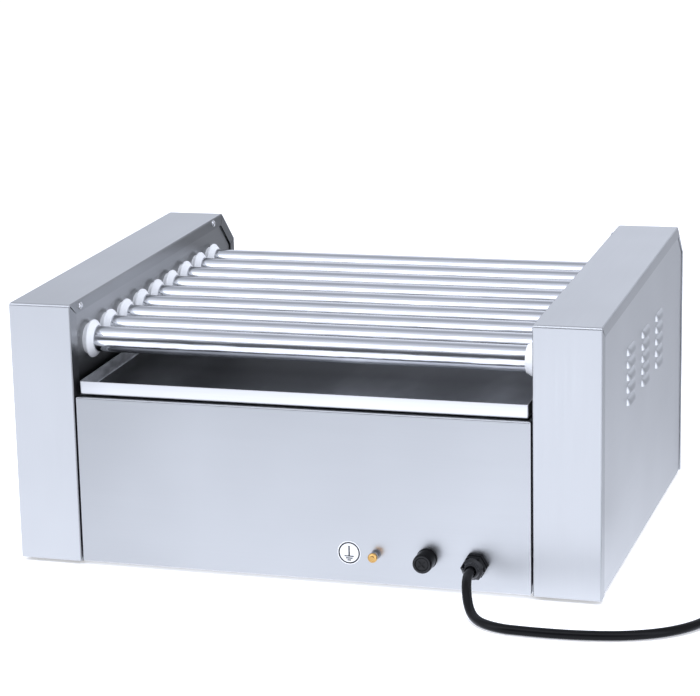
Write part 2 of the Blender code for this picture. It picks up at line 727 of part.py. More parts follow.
def make_switch(side, x):
    """Rocker switch: a bezel through the panel and a rocker that tilts in it."""
    bm = bmesh.new()
    add_box(bm, (x - 0.0110, FRONT - 0.0022, KNOB_HEIGHT - 0.0155),
            (x + 0.0110, FRONT, KNOB_HEIGHT + 0.0155))
    bezel = place(f"{side}_switch_bezel", mesh_from("bezel", bm), black_plastic())
    body = box_object(f"{side}_switch_body", (x - 0.0092, FRONT - 0.001, KNOB_HEIGHT - 0.0137),
                      (x + 0.0092, FRONT + 0.016, KNOB_HEIGHT + 0.0137), cutter=True)
    well = box_object(f"{side}_switch_well", (x - 0.0080, FRONT - 0.004, KNOB_HEIGHT - 0.0125),
                      (x + 0.0080, FRONT + 0.012, KNOB_HEIGHT + 0.0125), cutter=True)
    boolean(bezel, body, "UNION")
    boolean(bezel, well)
    outline = [(-0.0048, -0.0112), (-0.0012, 0.0), (-0.0048, 0.0112), (0.0040, 0.0104),
               (0.0040, -0.0104)]
    pivot_y = FRONT + PIVOT_DEPTH
    placed = [(pivot_y + y, KNOB_HEIGHT + z) for y, z in outline]
    rocker = side_plate(f"{side}_switch_rocker", [placed], x - 0.0076, x + 0.0076, red_plastic())
    rocker.data.transform(Matrix.Translation((-x, -pivot_y, -KNOB_HEIGHT)))
    rocker.rotation_euler = (-ROCKER_TILT, 0.0, 0.0)
    rocker.location = (x, pivot_y, KNOB_HEIGHT)


# ---------------------------------------------------------------- mains cord
def smooth_route(points, spacing):
    """Points at an even spacing along a Catmull-Rom curve through the route's points."""
    padded = [2 * points[0] - points[1], *points, 2 * points[-1] - points[-2]]
    dense = []
    for i in range(1, len(padded) - 2):
        before, start, end, after = padded[i - 1:i + 3]
        for step in range(40):
            t = step / 40
            dense.append(0.5 * (2 * start + (end - before) * t
                                + (2 * before - 5 * start + 4 * end - after) * t ** 2
                                + (3 * start - before - 3 * end + after) * t ** 3))
    dense.append(points[-1])
    total = sum((b - a).length for a, b in zip(dense, dense[1:]))
    count = round(total / spacing)
    result = [dense[0]]
    walked = 0.0
    for a, b in zip(dense, dense[1:]):
        walked += (b - a).length
        if walked >= total * len(result) / count and len(result) < count:
            result.append(b)
    result.append(dense[-1])
    return result


def make_power_cord():
    """Cord from the gland down to the table and along it to the coil."""
    points = smooth_route([Vector(point) for point in CORD_ROUTE], 2.2 * CORD_DIAMETER)
    curve = bpy.data.curves.new("power_cord", "CURVE")
    curve.dimensions = "3D"
    curve.bevel_depth = CORD_DIAMETER / 2
    curve.bevel_resolution = 2
    curve.use_fill_caps = True
    spline = curve.splines.new("POLY")
    spline.points.add(len(points) - 1)
    for spot, point in zip(spline.points, points):
        spot.co = (*point, 1.0)
    curve.materials.append(black_rubber())
    MODEL.objects.link(bpy.data.objects.new("power_cord", curve))


def make_cord_coil():
    """Outer shape of the coiled length: a turned ring on the table."""
    inner = COIL_RADIUS - CORD_DIAMETER
    outer = COIL_RADIUS + CORD_DIAMETER
    low = GAP
    high = GAP + 2 * CORD_DIAMETER
    ease = CORD_DIAMETER / 3
    profile = [(outer - ease, high), (outer, high - ease), (outer, low + ease),
               (outer - ease, low), (inner + ease, low), (inner, low + ease),
               (inner, high - ease), (inner + ease, high)]
    coil = turned("cord_coil", profile, black_rubber(), closed=True)
    coil.location = (*COIL_CENTRE, 0.0)


def make_power_plug():
    """Round mains plug lying on its side, with a tapered tail and two pins."""
    profile = [(0.0, 0.0620), (0.0170, 0.0620), (PLUG_RADIUS, 0.0600), (PLUG_RADIUS, 0.0400),
               (0.0130, 0.0300), (0.0078, 0.0270), (0.0048, 0.0), (0.0, 0.0)]
    plug = turned("power_plug", profile, black_rubber())
    x = COIL_CENTRE[0] + COIL_RADIUS + CORD_DIAMETER / 2
    tail = Vector((x, COIL_CENTRE[1] - COIL_CLEAR_RUN, PLUG_RADIUS + GAP))
    point_along(plug, (0, -1, 0), tail)
    bm = bmesh.new()
    for across in (-0.0095, 0.0095):
        start = tail + Vector((across, -0.0600, 0.0))
        add_cylinder(bm, start, start + Vector((0.0, -0.0210, 0.0)), 0.0024, 10)
    boolean(plug, place("plug_pins", mesh_from("plug_pins", bm), cutter=True), "UNION")


# ---------------------------------------------------------------- build
def build():
    clear_scene()
    for side, sign in (("left", -1), ("right", 1)):
        make_wrap(side, sign)
        make_inner_panel(side, sign)
        make_outer_panel(side, sign)
        for index in range(ROLLER_COUNT):
            make_bushing(f"{side}_bushing_{index + 1}", sign, index)
        make_knob(f"{side}_heat_knob", sign * KNOB_X)
        make_switch(side, sign * SWITCH_X)
        for end, y in (("front", -FOOT_Y), ("rear", FOOT_Y)):
            make_foot(f"{end}_{side}_foot", sign * FOOT_X, y)
    make_base_pan()
    make_rear_panel()
    make_control_panel()
    make_deck_plate()
    make_drip_tray()
    bore = circle_points(0.0, 0.0, ROLLER_RADIUS - ROLLER_WALL / 2)
    sprocket_mesh = outline_mesh("roller_sprocket", [sprocket_outline(ROLLER_TEETH), bore],
                                 SPROCKET_WIDTH)
    for index in range(ROLLER_COUNT):
        make_roller(index, sprocket_mesh)
    make_chain()
    make_motor_sprocket()
    make_gear_motor()
    make_cable_gland()
    make_fuse_holder()
    make_fuse_cap()
    make_earth_stud()
    make_earth_sign()
    make_power_cord()
    make_cord_coil()
    make_power_plug()


build()
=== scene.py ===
"""Looks of a countertop hot dog roller grill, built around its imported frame.

Metres, +Z up. The operator stands at -Y and sees +X on the right. The mains cord leaves
at the rear, +Y. The camera looks at the rear, from the side of the cord.
"""

import json
import math

import bmesh
import bpy
from mathutils import Matrix, Vector

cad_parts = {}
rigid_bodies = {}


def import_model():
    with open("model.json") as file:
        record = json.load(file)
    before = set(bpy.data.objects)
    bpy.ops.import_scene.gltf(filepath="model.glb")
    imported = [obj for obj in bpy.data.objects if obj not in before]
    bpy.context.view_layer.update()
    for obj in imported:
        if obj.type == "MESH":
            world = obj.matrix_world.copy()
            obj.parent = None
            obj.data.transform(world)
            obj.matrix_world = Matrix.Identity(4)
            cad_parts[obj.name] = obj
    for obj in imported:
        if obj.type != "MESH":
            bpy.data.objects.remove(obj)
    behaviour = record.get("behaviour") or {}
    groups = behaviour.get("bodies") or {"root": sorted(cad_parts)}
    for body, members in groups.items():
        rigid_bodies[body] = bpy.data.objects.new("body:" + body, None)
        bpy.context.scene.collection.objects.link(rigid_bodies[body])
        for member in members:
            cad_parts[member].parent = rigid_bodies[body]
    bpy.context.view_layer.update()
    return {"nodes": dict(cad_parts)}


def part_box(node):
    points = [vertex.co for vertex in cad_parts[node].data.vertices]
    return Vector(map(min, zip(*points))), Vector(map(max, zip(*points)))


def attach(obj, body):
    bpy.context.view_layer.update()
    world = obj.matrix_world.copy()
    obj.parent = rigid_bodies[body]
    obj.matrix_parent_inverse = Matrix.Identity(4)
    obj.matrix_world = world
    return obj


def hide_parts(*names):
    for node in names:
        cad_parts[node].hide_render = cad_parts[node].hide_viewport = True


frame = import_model()

# ---------------------------------------------------------------- driving dimensions
SHEET = 0.0012
GAP = 0.0003
BEND = 0.0016
CORNER_BEND = 0.0026
MITRE_GAP = 0.0003
TOP_LIP = 0.012
REAR_LIP = 0.015
INNER_FRONT_LIP = 0.0125
OUTER_FRONT_LIP = 0.002
PANEL_INSET = 0.0027
INNER_PANEL_SETBACK = 0.0148
OUTER_PANEL_SETBACK = 0.0035
SLOPE = 0.0504
TOP_RUN = 0.4235
CHAMFER_DROP = 0.0332
ROLLER_COUNT = 9
ROLLER_RADIUS = 0.0125
ROLLER_WALL = 0.0012
SPROCKET_WIDTH = 0.004
SPROCKET_TEETH = 10
SPROCKET_X = 0.238
CHAIN_PITCH = 0.009525
TOOTH_HEIGHT = 0.003
BUSHING_BASE_RADIUS = 0.0185
BUSHING_NOSE_RADIUS = 0.0135
RIGHT_BUSHING_LENGTH = 0.0046
LEFT_BUSHING_LENGTH = 0.0090
BUSHING_STANDOFF = 0.0044
BUSHING_SHOULDER = 0.0063
BUSHING_NECK_RADIUS = 0.0145
BUSHING_NECK_LENGTH = 0.004
BUSHING_HUB_RADIUS = 0.0150
TRAY_SHEET = 0.001
TRAY_REAR_SETBACK = 0.005
TRAY_REAR_HEIGHT = 0.1710
TRAY_PULL_REACH = 0.012
TRAY_PULL_DROP = 0.008
TRAY_WALL_HEIGHT = 0.0134
TRAY_LENGTH = 0.4545
LOUVRE_COLUMNS = 3
LOUVRE_ROWS = 5
LOUVRE_COLUMN_PITCH = 0.0805
LOUVRE_ROW_PITCH = 0.0122
LOUVRE_FIRST_Y = 0.078
LOUVRE_TOP_HEIGHT = 0.2045
LOUVRE_LENGTH = 0.038
LOUVRE_HEIGHT = 0.0080
LOUVRE_REACH = 0.0032
LOUVRE_SKIN = 0.0007
FITTING_HEIGHT = 0.033
CORD_DIAMETER = 0.009
CORD_HEIGHT = GAP + CORD_DIAMETER / 2
COIL_CENTRE = (-0.454, 0.130)
COIL_RADIUS = 0.0475
COIL_CLEAR_RUN = 0.0325
PLUG_RADIUS = 0.0185
ROUND = 64
STUDIO_TINT = (0.95, 1.0, 1.13)


def middle(node):
    """Centre of a CAD node's box."""
    low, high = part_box(node)
    return (low + high) / 2


WRAP_LOW, WRAP_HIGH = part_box("right_tower_wrap")
REAR = WRAP_HIGH.y
FRONT = WRAP_LOW.y
INNER_X = WRAP_LOW.x
OUTER_X = WRAP_HIGH.x
FLOOR_GAP = WRAP_LOW.z
SLOPE_ANGLE = math.atan(SLOPE)
FACE = REAR + GAP
GLAND_X = middle("cable_gland").x
GLAND_HEIGHT = middle("cable_gland").z
GLAND_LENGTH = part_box("cable_gland")[1].y - FACE
GLAND_NUT_LENGTH = 0.0135
FUSE_X = middle("fuse_holder").x
STUD_X = middle("earth_stud").x
SIGN_X = middle("earth_sign").x
COIL_OUTER_RADIUS = COIL_RADIUS + CORD_DIAMETER / 2
COIL_X = COIL_CENTRE[0] + COIL_OUTER_RADIUS
PLUG_TAIL = Vector((COIL_X, COIL_CENTRE[1] - COIL_CLEAR_RUN, PLUG_RADIUS + GAP))

CORD_ROUTE = [
    (GLAND_X, REAR + GLAND_LENGTH + 5 * GAP, GLAND_HEIGHT), (GLAND_X, 0.2560, GLAND_HEIGHT),
    (-0.1729, 0.2656, 0.0290), (-0.1746, 0.2750, 0.0251), (-0.1770, 0.2832, 0.0191),
    (-0.1801, 0.2904, 0.0125), (-0.1847, 0.2984, 0.0077), (-0.1908, 0.3065, 0.0053),
    (-0.1981, 0.3139, CORD_HEIGHT), (-0.2067, 0.3197, CORD_HEIGHT),
    (-0.2164, 0.3236, CORD_HEIGHT), (-0.2268, 0.3256, CORD_HEIGHT),
    (-0.2600, 0.3266, CORD_HEIGHT), (-0.2950, 0.3240, CORD_HEIGHT),
    (-0.3300, 0.3157, CORD_HEIGHT), (-0.3620, 0.2980, CORD_HEIGHT),
    (-0.3850, 0.2710, CORD_HEIGHT), (-0.3970, 0.2370, CORD_HEIGHT),
    (-0.4015, 0.2000, CORD_HEIGHT),
    (COIL_X, COIL_CENTRE[1] + COIL_CLEAR_RUN, CORD_HEIGHT),
]


# ---------------------------------------------------------------- materials
class Shading:
    """Node tree under construction, with a short call for each kind of node used here."""

    def __init__(self, tree):
        self.nodes = tree.nodes
        self.link = tree.links.new

    def axes(self, kind):
        """X, Y and Z of a texture coordinate, as sockets."""
        place = self.nodes.new("ShaderNodeTexCoord")
        split = self.nodes.new("ShaderNodeSeparateXYZ")
        self.link(place.outputs[kind], split.inputs["Vector"])
        return place.outputs[kind], split.outputs

    def noise(self, stretch, detail):
        """Noise whose features are stretched by the object's own axes."""
        place = self.nodes.new("ShaderNodeTexCoord")
        mapping = self.nodes.new("ShaderNodeMapping")
        mapping.inputs["Scale"].default_value = stretch
        noise = self.nodes.new("ShaderNodeTexNoise")
        noise.inputs["Scale"].default_value = 1.0
        noise.inputs["Detail"].default_value = detail
        self.link(place.outputs["Object"], mapping.inputs["Vector"])
        self.link(mapping.outputs["Vector"], noise.inputs["Vector"])
        return noise.outputs["Fac"]

    def ramp(self, factor, *stops):
        """Colour ramp over (position, colour) stops."""
        node = self.nodes.new("ShaderNodeValToRGB")
        elements = node.color_ramp.elements
        while len(elements) < len(stops):
            elements.new(0.5)
        for element, (position, colour) in zip(elements, stops):
            element.position = position
            element.color = (*colour, 1.0)
        self.link(factor, node.inputs["Fac"])
        return node.outputs["Color"]

    def spread(self, factor, low, high, start=0.3, end=0.7):
        """Number between two values where the factor goes from start to end."""
        node = self.nodes.new("ShaderNodeMapRange")
        for socket, value in (("From Min", start), ("From Max", end), ("To Min", low),
                              ("To Max", high)):
            node.inputs[socket].default_value = value
        self.link(factor, node.inputs["Value"])
        return node.outputs["Result"]

    def blend(self, factor, first, second, mode="MIX"):
        """Mix of two colours by a factor, each a socket or a plain value."""
        node = self.nodes.new("ShaderNodeMix")
        node.data_type = "RGBA"
        node.blend_type = mode
        colours = [socket for socket in node.inputs if socket.type == "RGBA"]
        for target, value in zip((node.inputs["Factor"], *colours), (factor, first, second)):
            if isinstance(value, tuple):
                target.default_value = (*value, 1.0)
            elif isinstance(value, float):
                target.default_value = value
            else:
                self.link(value, target)
        return next(socket for socket in node.outputs if socket.type == "RGBA")

    def faded(self, colour, fades):
        """Darker colour: each fade is (axis, place, place of full tone, share at the first)."""
        for axis, start, end, share in fades:
            tone = self.spread(self.axes("Object")[1][axis], share, 1.0, start, end)
            colour = self.blend(1.0, colour, tone, "MULTIPLY")
        return colour


class Finish(Shading):
    """Material with a Principled shader."""

    def __init__(self, name, colour, metallic, roughness, specular=0.5):
        self.material = bpy.data.materials.new(name)
        self.material.use_nodes = True
        super().__init__(self.material.node_tree)
        self.shader = self.nodes["Principled BSDF"]
        for socket, value in (("Base Color", (*colour, 1.0)), ("Metallic", metallic),
                              ("Roughness", roughness), ("Specular IOR Level", specular)):
            self.shader.inputs[socket].default_value = value

    def feed(self, colour, roughness, height=None, strength=0.0, distance=0.0):
        """Drive the shader's colour and roughness, raise a bump, and give the material."""
        self.link(colour, self.shader.inputs["Base Color"])
        self.link(roughness, self.shader.inputs["Roughness"])
        if height:
            bump = self.nodes.new("ShaderNodeBump")
            bump.inputs["Strength"].default_value = strength
            bump.inputs["Distance"].default_value = distance
            self.link(height, bump.inputs["Height"])
            self.link(bump.outputs["Normal"], self.shader.inputs["Normal"])
        return self.material


def scaled(colour, share):
    return tuple(channel * share for channel in colour)


def sheet_metal(name, colour, roughness, grain, grain_share=0.012, fades=()):
    """Stainless sheet: fine rolling lines, soft clouds of tone and a light waviness."""
    metal = Finish(name, colour, 1.0, roughness)
    lines = metal.noise(grain, 5.0)
    base = metal.ramp(lines, (0.35, scaled(colour, 1 - grain_share)),
                      (0.65, scaled(colour, 1 + grain_share)))
    clouds = metal.ramp(metal.noise((7.0, 7.0, 7.0), 2.0), (0.30, (0.94, 0.94, 0.94)),
                        (0.70, (1.0, 1.0, 1.0)))
    cloudy = metal.blend(1.0, base, clouds, "MULTIPLY")
    return metal.feed(metal.faded(cloudy, fades),
                      metal.spread(lines, roughness * 0.92, roughness * 1.1), lines, 0.03, 0.00004)


def polished_tube(name="polished_tube", colour=(0.86, 0.87, 0.90)):
    """Seamless tube, mirror polished, with drawn-out ripples along its length."""
    metal = Finish(name, colour, 1.0, 0.10)
    wear = metal.noise((40.0, 900.0, 900.0), 4.0)
    return metal.feed(metal.ramp(wear, (0.30, scaled(colour, 0.95)), (0.65, colour)),
                      metal.spread(wear, 0.07, 0.17),
                      metal.noise((22.0, 300.0, 300.0), 3.0), 0.28, 0.0006)


def tray_wall(name="tray_wall_inside", colour=(0.62, 0.63, 0.65)):
    """Inner side of the tray's walls: dull, with a thin film of fat."""
    metal = Finish(name, colour, 0.55, 0.50)
    film = metal.noise((18.0, 40.0, 90.0), 5.0)
    return metal.feed(metal.ramp(film, (0.32, scaled(colour, 0.55)), (0.62, colour)),
                      metal.spread(film, 0.60, 0.40), film, 0.08, 0.0002)


def tray_inside(name="tray_inside", dark=(0.44, 0.445, 0.46), light=(0.80, 0.81, 0.83)):
    """Dark tray floor with smears of baked fat. It is darker still under the rollers and towards
    the +X tower, which is painted shade.
    """
    metal = Finish(name, dark, 1.0, 0.30)
    smears = metal.noise((12.0, 5.0, 12.0), 3.0)
    drops = metal.noise((60.0, 60.0, 60.0), 3.0)
    base = metal.ramp(smears, (0.30, dark), (0.50, scaled(dark, 1.20)), (0.68, light))
    spots = metal.ramp(drops, (0.30, (0.60, 0.60, 0.60)), (0.46, (1.0, 1.0, 1.0)))
    worn = metal.blend(0.12, base, spots, "MULTIPLY")
    # Painted shade: darker under the rollers, towards -Y, and towards the +X tower.
    fades = [("Y", 0.120, 0.215, 0.50), ("X", 0.230, -0.120, 0.30)]
    return metal.feed(metal.faded(worn, fades), metal.spread(smears, 0.30, 0.40),
                      drops, 0.04, 0.0003)


def galvanised(name="galvanised", colour=(0.42, 0.43, 0.45)):
    """Zinc-coated sheet with its flakes."""
    metal = Finish(name, colour, 1.0, 0.45)
    flakes = metal.nodes.new("ShaderNodeTexVoronoi")
    flakes.inputs["Scale"].default_value = 160.0
    metal.link(metal.axes("Object")[0], flakes.inputs["Vector"])
    grey = metal.nodes.new("ShaderNodeRGBToBW")
    metal.link(flakes.outputs["Color"], grey.inputs["Color"])
    tone = grey.outputs["Val"]
    return metal.feed(metal.ramp(tone, (0.1, scaled(colour, 0.85)), (0.9, scaled(colour, 1.12))),
                      metal.spread(tone, 0.38, 0.55, 0.0, 1.0))


def moulded(name, colour, roughness, grain=900.0, depth=0.12, variation=0.06, specular=0.5):
    """Moulded plastic or rubber: fine grain, faint tone clouds."""
    plastic = Finish(name, colour, 0.0, roughness, specular)
    clouds = plastic.noise((30.0, 30.0, 30.0), 3.0)
    return plastic.feed(plastic.ramp(clouds, (0.3, scaled(colour, 1 - variation)),
                                     (0.7, scaled(colour, 1 + variation))),
                        plastic.spread(clouds, roughness * 0.85, min(1.0, roughness * 1.15)),
                        plastic.noise((grain, grain, grain), 3.0), depth, 0.0002)


def cast_metal(name, colour, roughness):
    """Machined or cast metal with fine marks and darker stains."""
    metal = Finish(name, colour, 1.0, roughness)
    marks = metal.noise((400.0, 400.0, 400.0), 4.0)
    stains = metal.noise((60.0, 60.0, 60.0), 4.0)
    return metal.feed(metal.ramp(stains, (0.30, scaled(colour, 0.72)), (0.60, colour)),
                      metal.spread(marks, roughness * 0.75, roughness * 1.3),
                      marks, 0.10, 0.0002)


ALONG_X = (8.0, 600.0, 600.0)
ALONG_Y = (600.0, 8.0, 600.0)
# The sheet keys top, lip, outer_lip, rear, side, hood, hood_end and inner are copies of one
# stainless sheet. Each has its own tone and fades that paint the light and shade falling on its
# faces.
MATERIALS = {
    "stainless": sheet_metal("stainless", (0.50, 0.505, 0.51), 0.36, ALONG_X, 0.02,
                             [("Z", 0.010, 0.150, 0.90)]),
    # Tower shells: a little darker towards +X and much darker on the front faces, painted shade.
    "top": sheet_metal("wrap_sheet_painted_shade", (0.73, 0.74, 0.75), 0.36, (700.0, 12.0, 12.0), 0.007,
                       [("X", 0.30, -0.30, 0.93), ("Y", FRONT + 0.0005, FRONT + 0.0035, 0.64)]),
    # Inner lips: a dark copy of the sheet, darker still towards the front, painted shade.
    "lip": sheet_metal("inner_lip_painted_shade", (0.38, 0.385, 0.39), 0.36, ALONG_Y, 0.01,
                       [("Y", -0.24, 0.10, 0.55)]),
    # Outer lips: a darker copy of the sheet, painted shade.
    "outer_lip": sheet_metal("outer_lip_painted_shade", (0.56, 0.57, 0.58), 0.36, ALONG_Y),
    # Rear cover: darker towards +X and the top, lighter towards -X: painted light and shade.
    "rear": sheet_metal("rear_sheet", (0.615, 0.625, 0.635), 0.32, ALONG_X, 0.007,
                        [("X", 0.260, 0.100, 0.86), ("X", -0.250, -0.060, 1.14),
                         ("Z", 0.165, 0.030, 0.88)]),
    # Louvred covers: a little darker towards the front, painted shade.
    "side": sheet_metal("side_sheet", (0.71, 0.72, 0.73), 0.38, ALONG_Y, 0.007,
                        [("Y", -0.30, 0.10, 0.93)]),
    # Louvre hoods: a darker copy of the sheet, painted shade. Their end caps: a light copy, painted
    # highlight.
    "hood": sheet_metal("hood_sheet_painted_shade", (0.64, 0.65, 0.66), 0.40, ALONG_Y),
    "hood_end": sheet_metal("hood_end_painted_highlight", (0.90, 0.91, 0.92), 0.40, ALONG_Y),
    # Bushing plates: a dark copy of the sheet, darker towards the front and near black below the
    # tray's rim, painted shade.
    "inner": sheet_metal("inner_sheet_painted_shade", (0.44, 0.445, 0.45), 0.38, ALONG_Y, 0.01,
                         [("Y", -0.24, 0.16, 0.62), ("Z", 0.178, 0.203, 0.08)]),
    "galvanised": galvanised(),
    "tube": polished_tube(),
    # Tray outside: darker next to the +X tower and towards +X, painted shade.
    "tray_outside": sheet_metal("tray_outside", (0.94, 0.94, 0.94), 0.34, (5.0, 500.0, 500.0),
                                0.02, [("X", 0.222, 0.190, 0.86), ("X", 0.250, -0.100, 0.88)]),
    "tray_wall": tray_wall(),
    "tray_inside": tray_inside(),
    "white": moulded("white_plastic", (0.78, 0.785, 0.80), 0.42, 700.0, 0.06, 0.02),
    "grey_mark": moulded("grey_mark", (0.02, 0.02, 0.022), 0.55, 900.0, 0.02, 0.06, 0.2),
    "white_mark": moulded("white_mark", (0.80, 0.80, 0.80), 0.50, 900.0, 0.02, 0.03),
    "black": moulded("black_plastic", (0.003, 0.003, 0.0035), 0.15, 1400.0, 0.03, 0.15, 0.05),
    "cap": moulded("cap_plastic", (0.020, 0.020, 0.021), 0.26, 1400.0, 0.03, 0.15, 0.16),
    "gloss": moulded("gloss_plastic", (0.003, 0.003, 0.004), 0.07, 1400.0, 0.01, 0.15, 0.40),
    "rubber": moulded("black_rubber", (0.005, 0.005, 0.0055), 0.22, 1200.0, 0.05, 0.15, 0.13),
    # Near-black for the screws' cross recesses: painted shade.
    "recess_shade": moulded("painted_recess_shade", (0.004, 0.004, 0.005), 0.70, 900.0, 0.10, 0.15, 0.2),
    "red": moulded("red_plastic", (0.50, 0.018, 0.012), 0.22, 500.0, 0.03, 0.06),
    "brass": cast_metal("brass", (0.83, 0.50, 0.17), 0.24),
    "zinc": cast_metal("zinc_nut", (0.42, 0.43, 0.45), 0.34),
    "screw": cast_metal("screw_zinc", (0.86, 0.86, 0.87), 0.16),
    "dark_steel": cast_metal("dark_steel", (0.20, 0.20, 0.21), 0.40),
    "pins": cast_metal("plug_pins", (0.72, 0.70, 0.66), 0.22),
}

PIECES = set()


# ---------------------------------------------------------------- modelling helpers
def add_object(name, data):
    obj = bpy.data.objects.new(name, data)
    bpy.context.scene.collection.objects.link(obj)
    return obj


def mesh_from(name, bm):
    """Mesh from a mesh under construction, which is freed."""
    mesh = bpy.data.meshes.new(name)
    bm.to_mesh(mesh)
    bm.free()
    return mesh


def solid_of(curve):
    """Mesh of a curve or a text, by way of a short-lived object."""
    holder = add_object("outline", curve)
    graph = bpy.context.evaluated_depsgraph_get()
    mesh = bpy.data.meshes.new_from_object(holder.evaluated_get(graph))
    bpy.data.objects.remove(holder, do_unlink=True)
    return mesh


def finish_piece(name, bm, body, material, replaces=(), smooth=32.0, extra=()):
    """Object from a mesh under construction: shaded, painted and riding on its body."""
    bmesh.ops.recalc_face_normals(bm, faces=bm.faces)
    mesh = mesh_from(name, bm)
    mesh.shade_smooth()
    mesh.set_sharp_from_angle(angle=math.radians(smooth))
    for key in (material, *extra):
        mesh.materials.append(MATERIALS[key])
    obj = add_object(name, mesh)
    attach(obj, body)
    if replaces:
        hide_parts(*replaces)
    PIECES.add(name)
    return obj


def paint_new(bm, before, index):
    """Give a material index to the faces made since a count."""
    bm.faces.ensure_lookup_table()
    for face in bm.faces[before:]:
        face.material_index = index


def steady_shading():
    """Keep the flat faces of every piece flat where they meet their small roundings."""
    for obj in bpy.context.scene.objects:
        if obj.type == "MESH" and obj.name in PIECES:
            normals = obj.modifiers.new("flat_faces", "WEIGHTED_NORMAL")
            normals.keep_sharp = True
            normals.weight = 100


def soften(obj, width, segments=3, angle=40.0):
    """Small rounding on an object's sharp edges."""
    bevel = obj.modifiers.new("rounding", "BEVEL")
    bevel.width = width
    bevel.segments = segments
    bevel.limit_method = "ANGLE"
    bevel.angle_limit = math.radians(angle)
    bevel.harden_normals = True


def dress(node, material, rounding=0.0):
    """Better material, and a small rounding, on a CAD node that stays."""
    obj = frame["nodes"][node]
    if not obj.material_slots:
        obj.data.materials.append(MATERIALS[material])
    for holder in obj.material_slots:
        holder.material = MATERIALS[material]
    if rounding:
        weld = obj.modifiers.new("weld", "WELD")
        weld.merge_threshold = 0.00001
        soften(obj, rounding)


def filleted(points, radii, closed=True, steps=5):
    """Outline with rounded corners, by one radius or one for each corner."""
    count = len(points)
    result = []
    for i, point in enumerate(points):
        radius = radii[i] if isinstance(radii, (list, tuple)) else radii
        if radius <= 0 or (not closed and i in (0, count - 1)):
            result.append(tuple(point))
            continue
        here = Vector(point)
        back = Vector(points[i - 1]) - here
        ahead = Vector(points[(i + 1) % count]) - here
        half = back.angle(ahead) / 2
        reach = min(radius / math.tan(half), 0.49 * back.length, 0.49 * ahead.length)
        radius = reach * math.tan(half)
        back.normalize()
        ahead.normalize()
        centre = here + (back + ahead).normalized() * (radius / math.sin(half))
        start = here + back * reach - centre
        end = here + ahead * reach - centre
        first = math.atan2(start.y, start.x)
        turn = (math.atan2(end.y, end.x) - first + math.pi) % math.tau - math.pi
        for k in range(steps + 1):
            angle = first + turn * k / steps
            result.append((centre.x + radius * math.cos(angle),
                           centre.y + radius * math.sin(angle)))
    return result


def facing(direction, location=(0.0, 0.0, 0.0)):
    """Matrix that turns local Z to a direction and moves to a place."""
    turn = Vector(direction).to_track_quat("Z", "Y").to_matrix().to_4x4()
    return Matrix.Translation(Vector(location)) @ turn


def lathe(bm, profile, matrix, segments=ROUND, closed=False, waves=0, depth=0.0):
    """Body turned about local Z from (radius, height) points; waves flute its side."""
    rings = []
    for radius, height in profile:
        if radius < 1e-6:
            rings.append([bm.verts.new(matrix @ Vector((0.0, 0.0, height)))])
            continue
        ring = []
        for i in range(segments):
            angle = math.tau * i / segments
            flute = radius * (1.0 - depth * (0.5 - 0.5 * math.cos(waves * angle)))
            ring.append(bm.verts.new(matrix @ Vector((flute * math.cos(angle),
                                                      flute * math.sin(angle), height))))
        rings.append(ring)
    pairs = list(zip(rings, rings[1:]))
    if closed:
        pairs.append((rings[-1], rings[0]))
    for upper, lower in pairs:
        if len(upper) == len(lower) == 1:
            continue
        for i in range(segments):
            j = (i + 1) % segments
            corners = [upper[i % len(upper)], lower[i % len(lower)],
                       lower[j % len(lower)], upper[j % len(upper)]]
            bm.faces.new(list(dict.fromkeys(corners)))


def turned(bm, points, radii, matrix, closed=False, steps=5, segments=ROUND, **flutes):
    """Body turned from a profile with rounded corners."""
    lathe(bm, filleted(points, radii, closed, steps), matrix, segments, closed, **flutes)


def bridge(bm, first, second):
    """Faces between two closed rings of the same length."""
    for i, j in zip(range(-1, len(first) - 1), range(len(first))):
        bm.faces.new([first[i], first[j], second[j], second[i]])


def prism(bm, outline, matrix, length, ease=0.0):
    """Closed prism on an outline in local XY, from Z 0 to a length, with eased rims."""
    centre = sum((Vector(point) for point in outline), Vector((0.0, 0.0))) / len(outline)
    levels = [(0.0, 0.0), (length, 0.0)]
    if ease:
        levels = [(0.0, ease), (ease, 0.0), (length - ease, 0.0), (length, ease)]
    rings = []
    for height, shrink in levels:
        ring = []
        for point in outline:
            offset = Vector(point) - centre
            spot = centre + offset * (1 - shrink / max(offset.length, shrink))
            ring.append(bm.verts.new(matrix @ Vector((spot.x, spot.y, height))))
        rings.append(ring)
    for lower, upper in zip(rings, rings[1:]):
        bridge(bm, lower, upper)
    bm.faces.new(rings[0])
    bm.faces.new(rings[-1])


def block(bm, low, high, matrix=Matrix.Identity(4)):
    """Box between two corners."""
    low = Vector(low)
    high = Vector(high)
    place = Matrix.Translation((low + high) / 2) @ Matrix.Diagonal((*(high - low), 1.0))
    return bmesh.ops.create_cube(bm, size=1.0, matrix=matrix @ place)["verts"]


def eased_block(bm, low, high, ease, matrix=Matrix.Identity(4), segments=2):
    """Box with rounded edges."""
    verts = block(bm, low, high, matrix)
    edges = {edge for vert in verts for edge in vert.link_edges}
    bmesh.ops.bevel(bm, geom=list(edges), offset=ease, segments=segments, profile=0.5,
                    affect="EDGES", clamp_overlap=True)


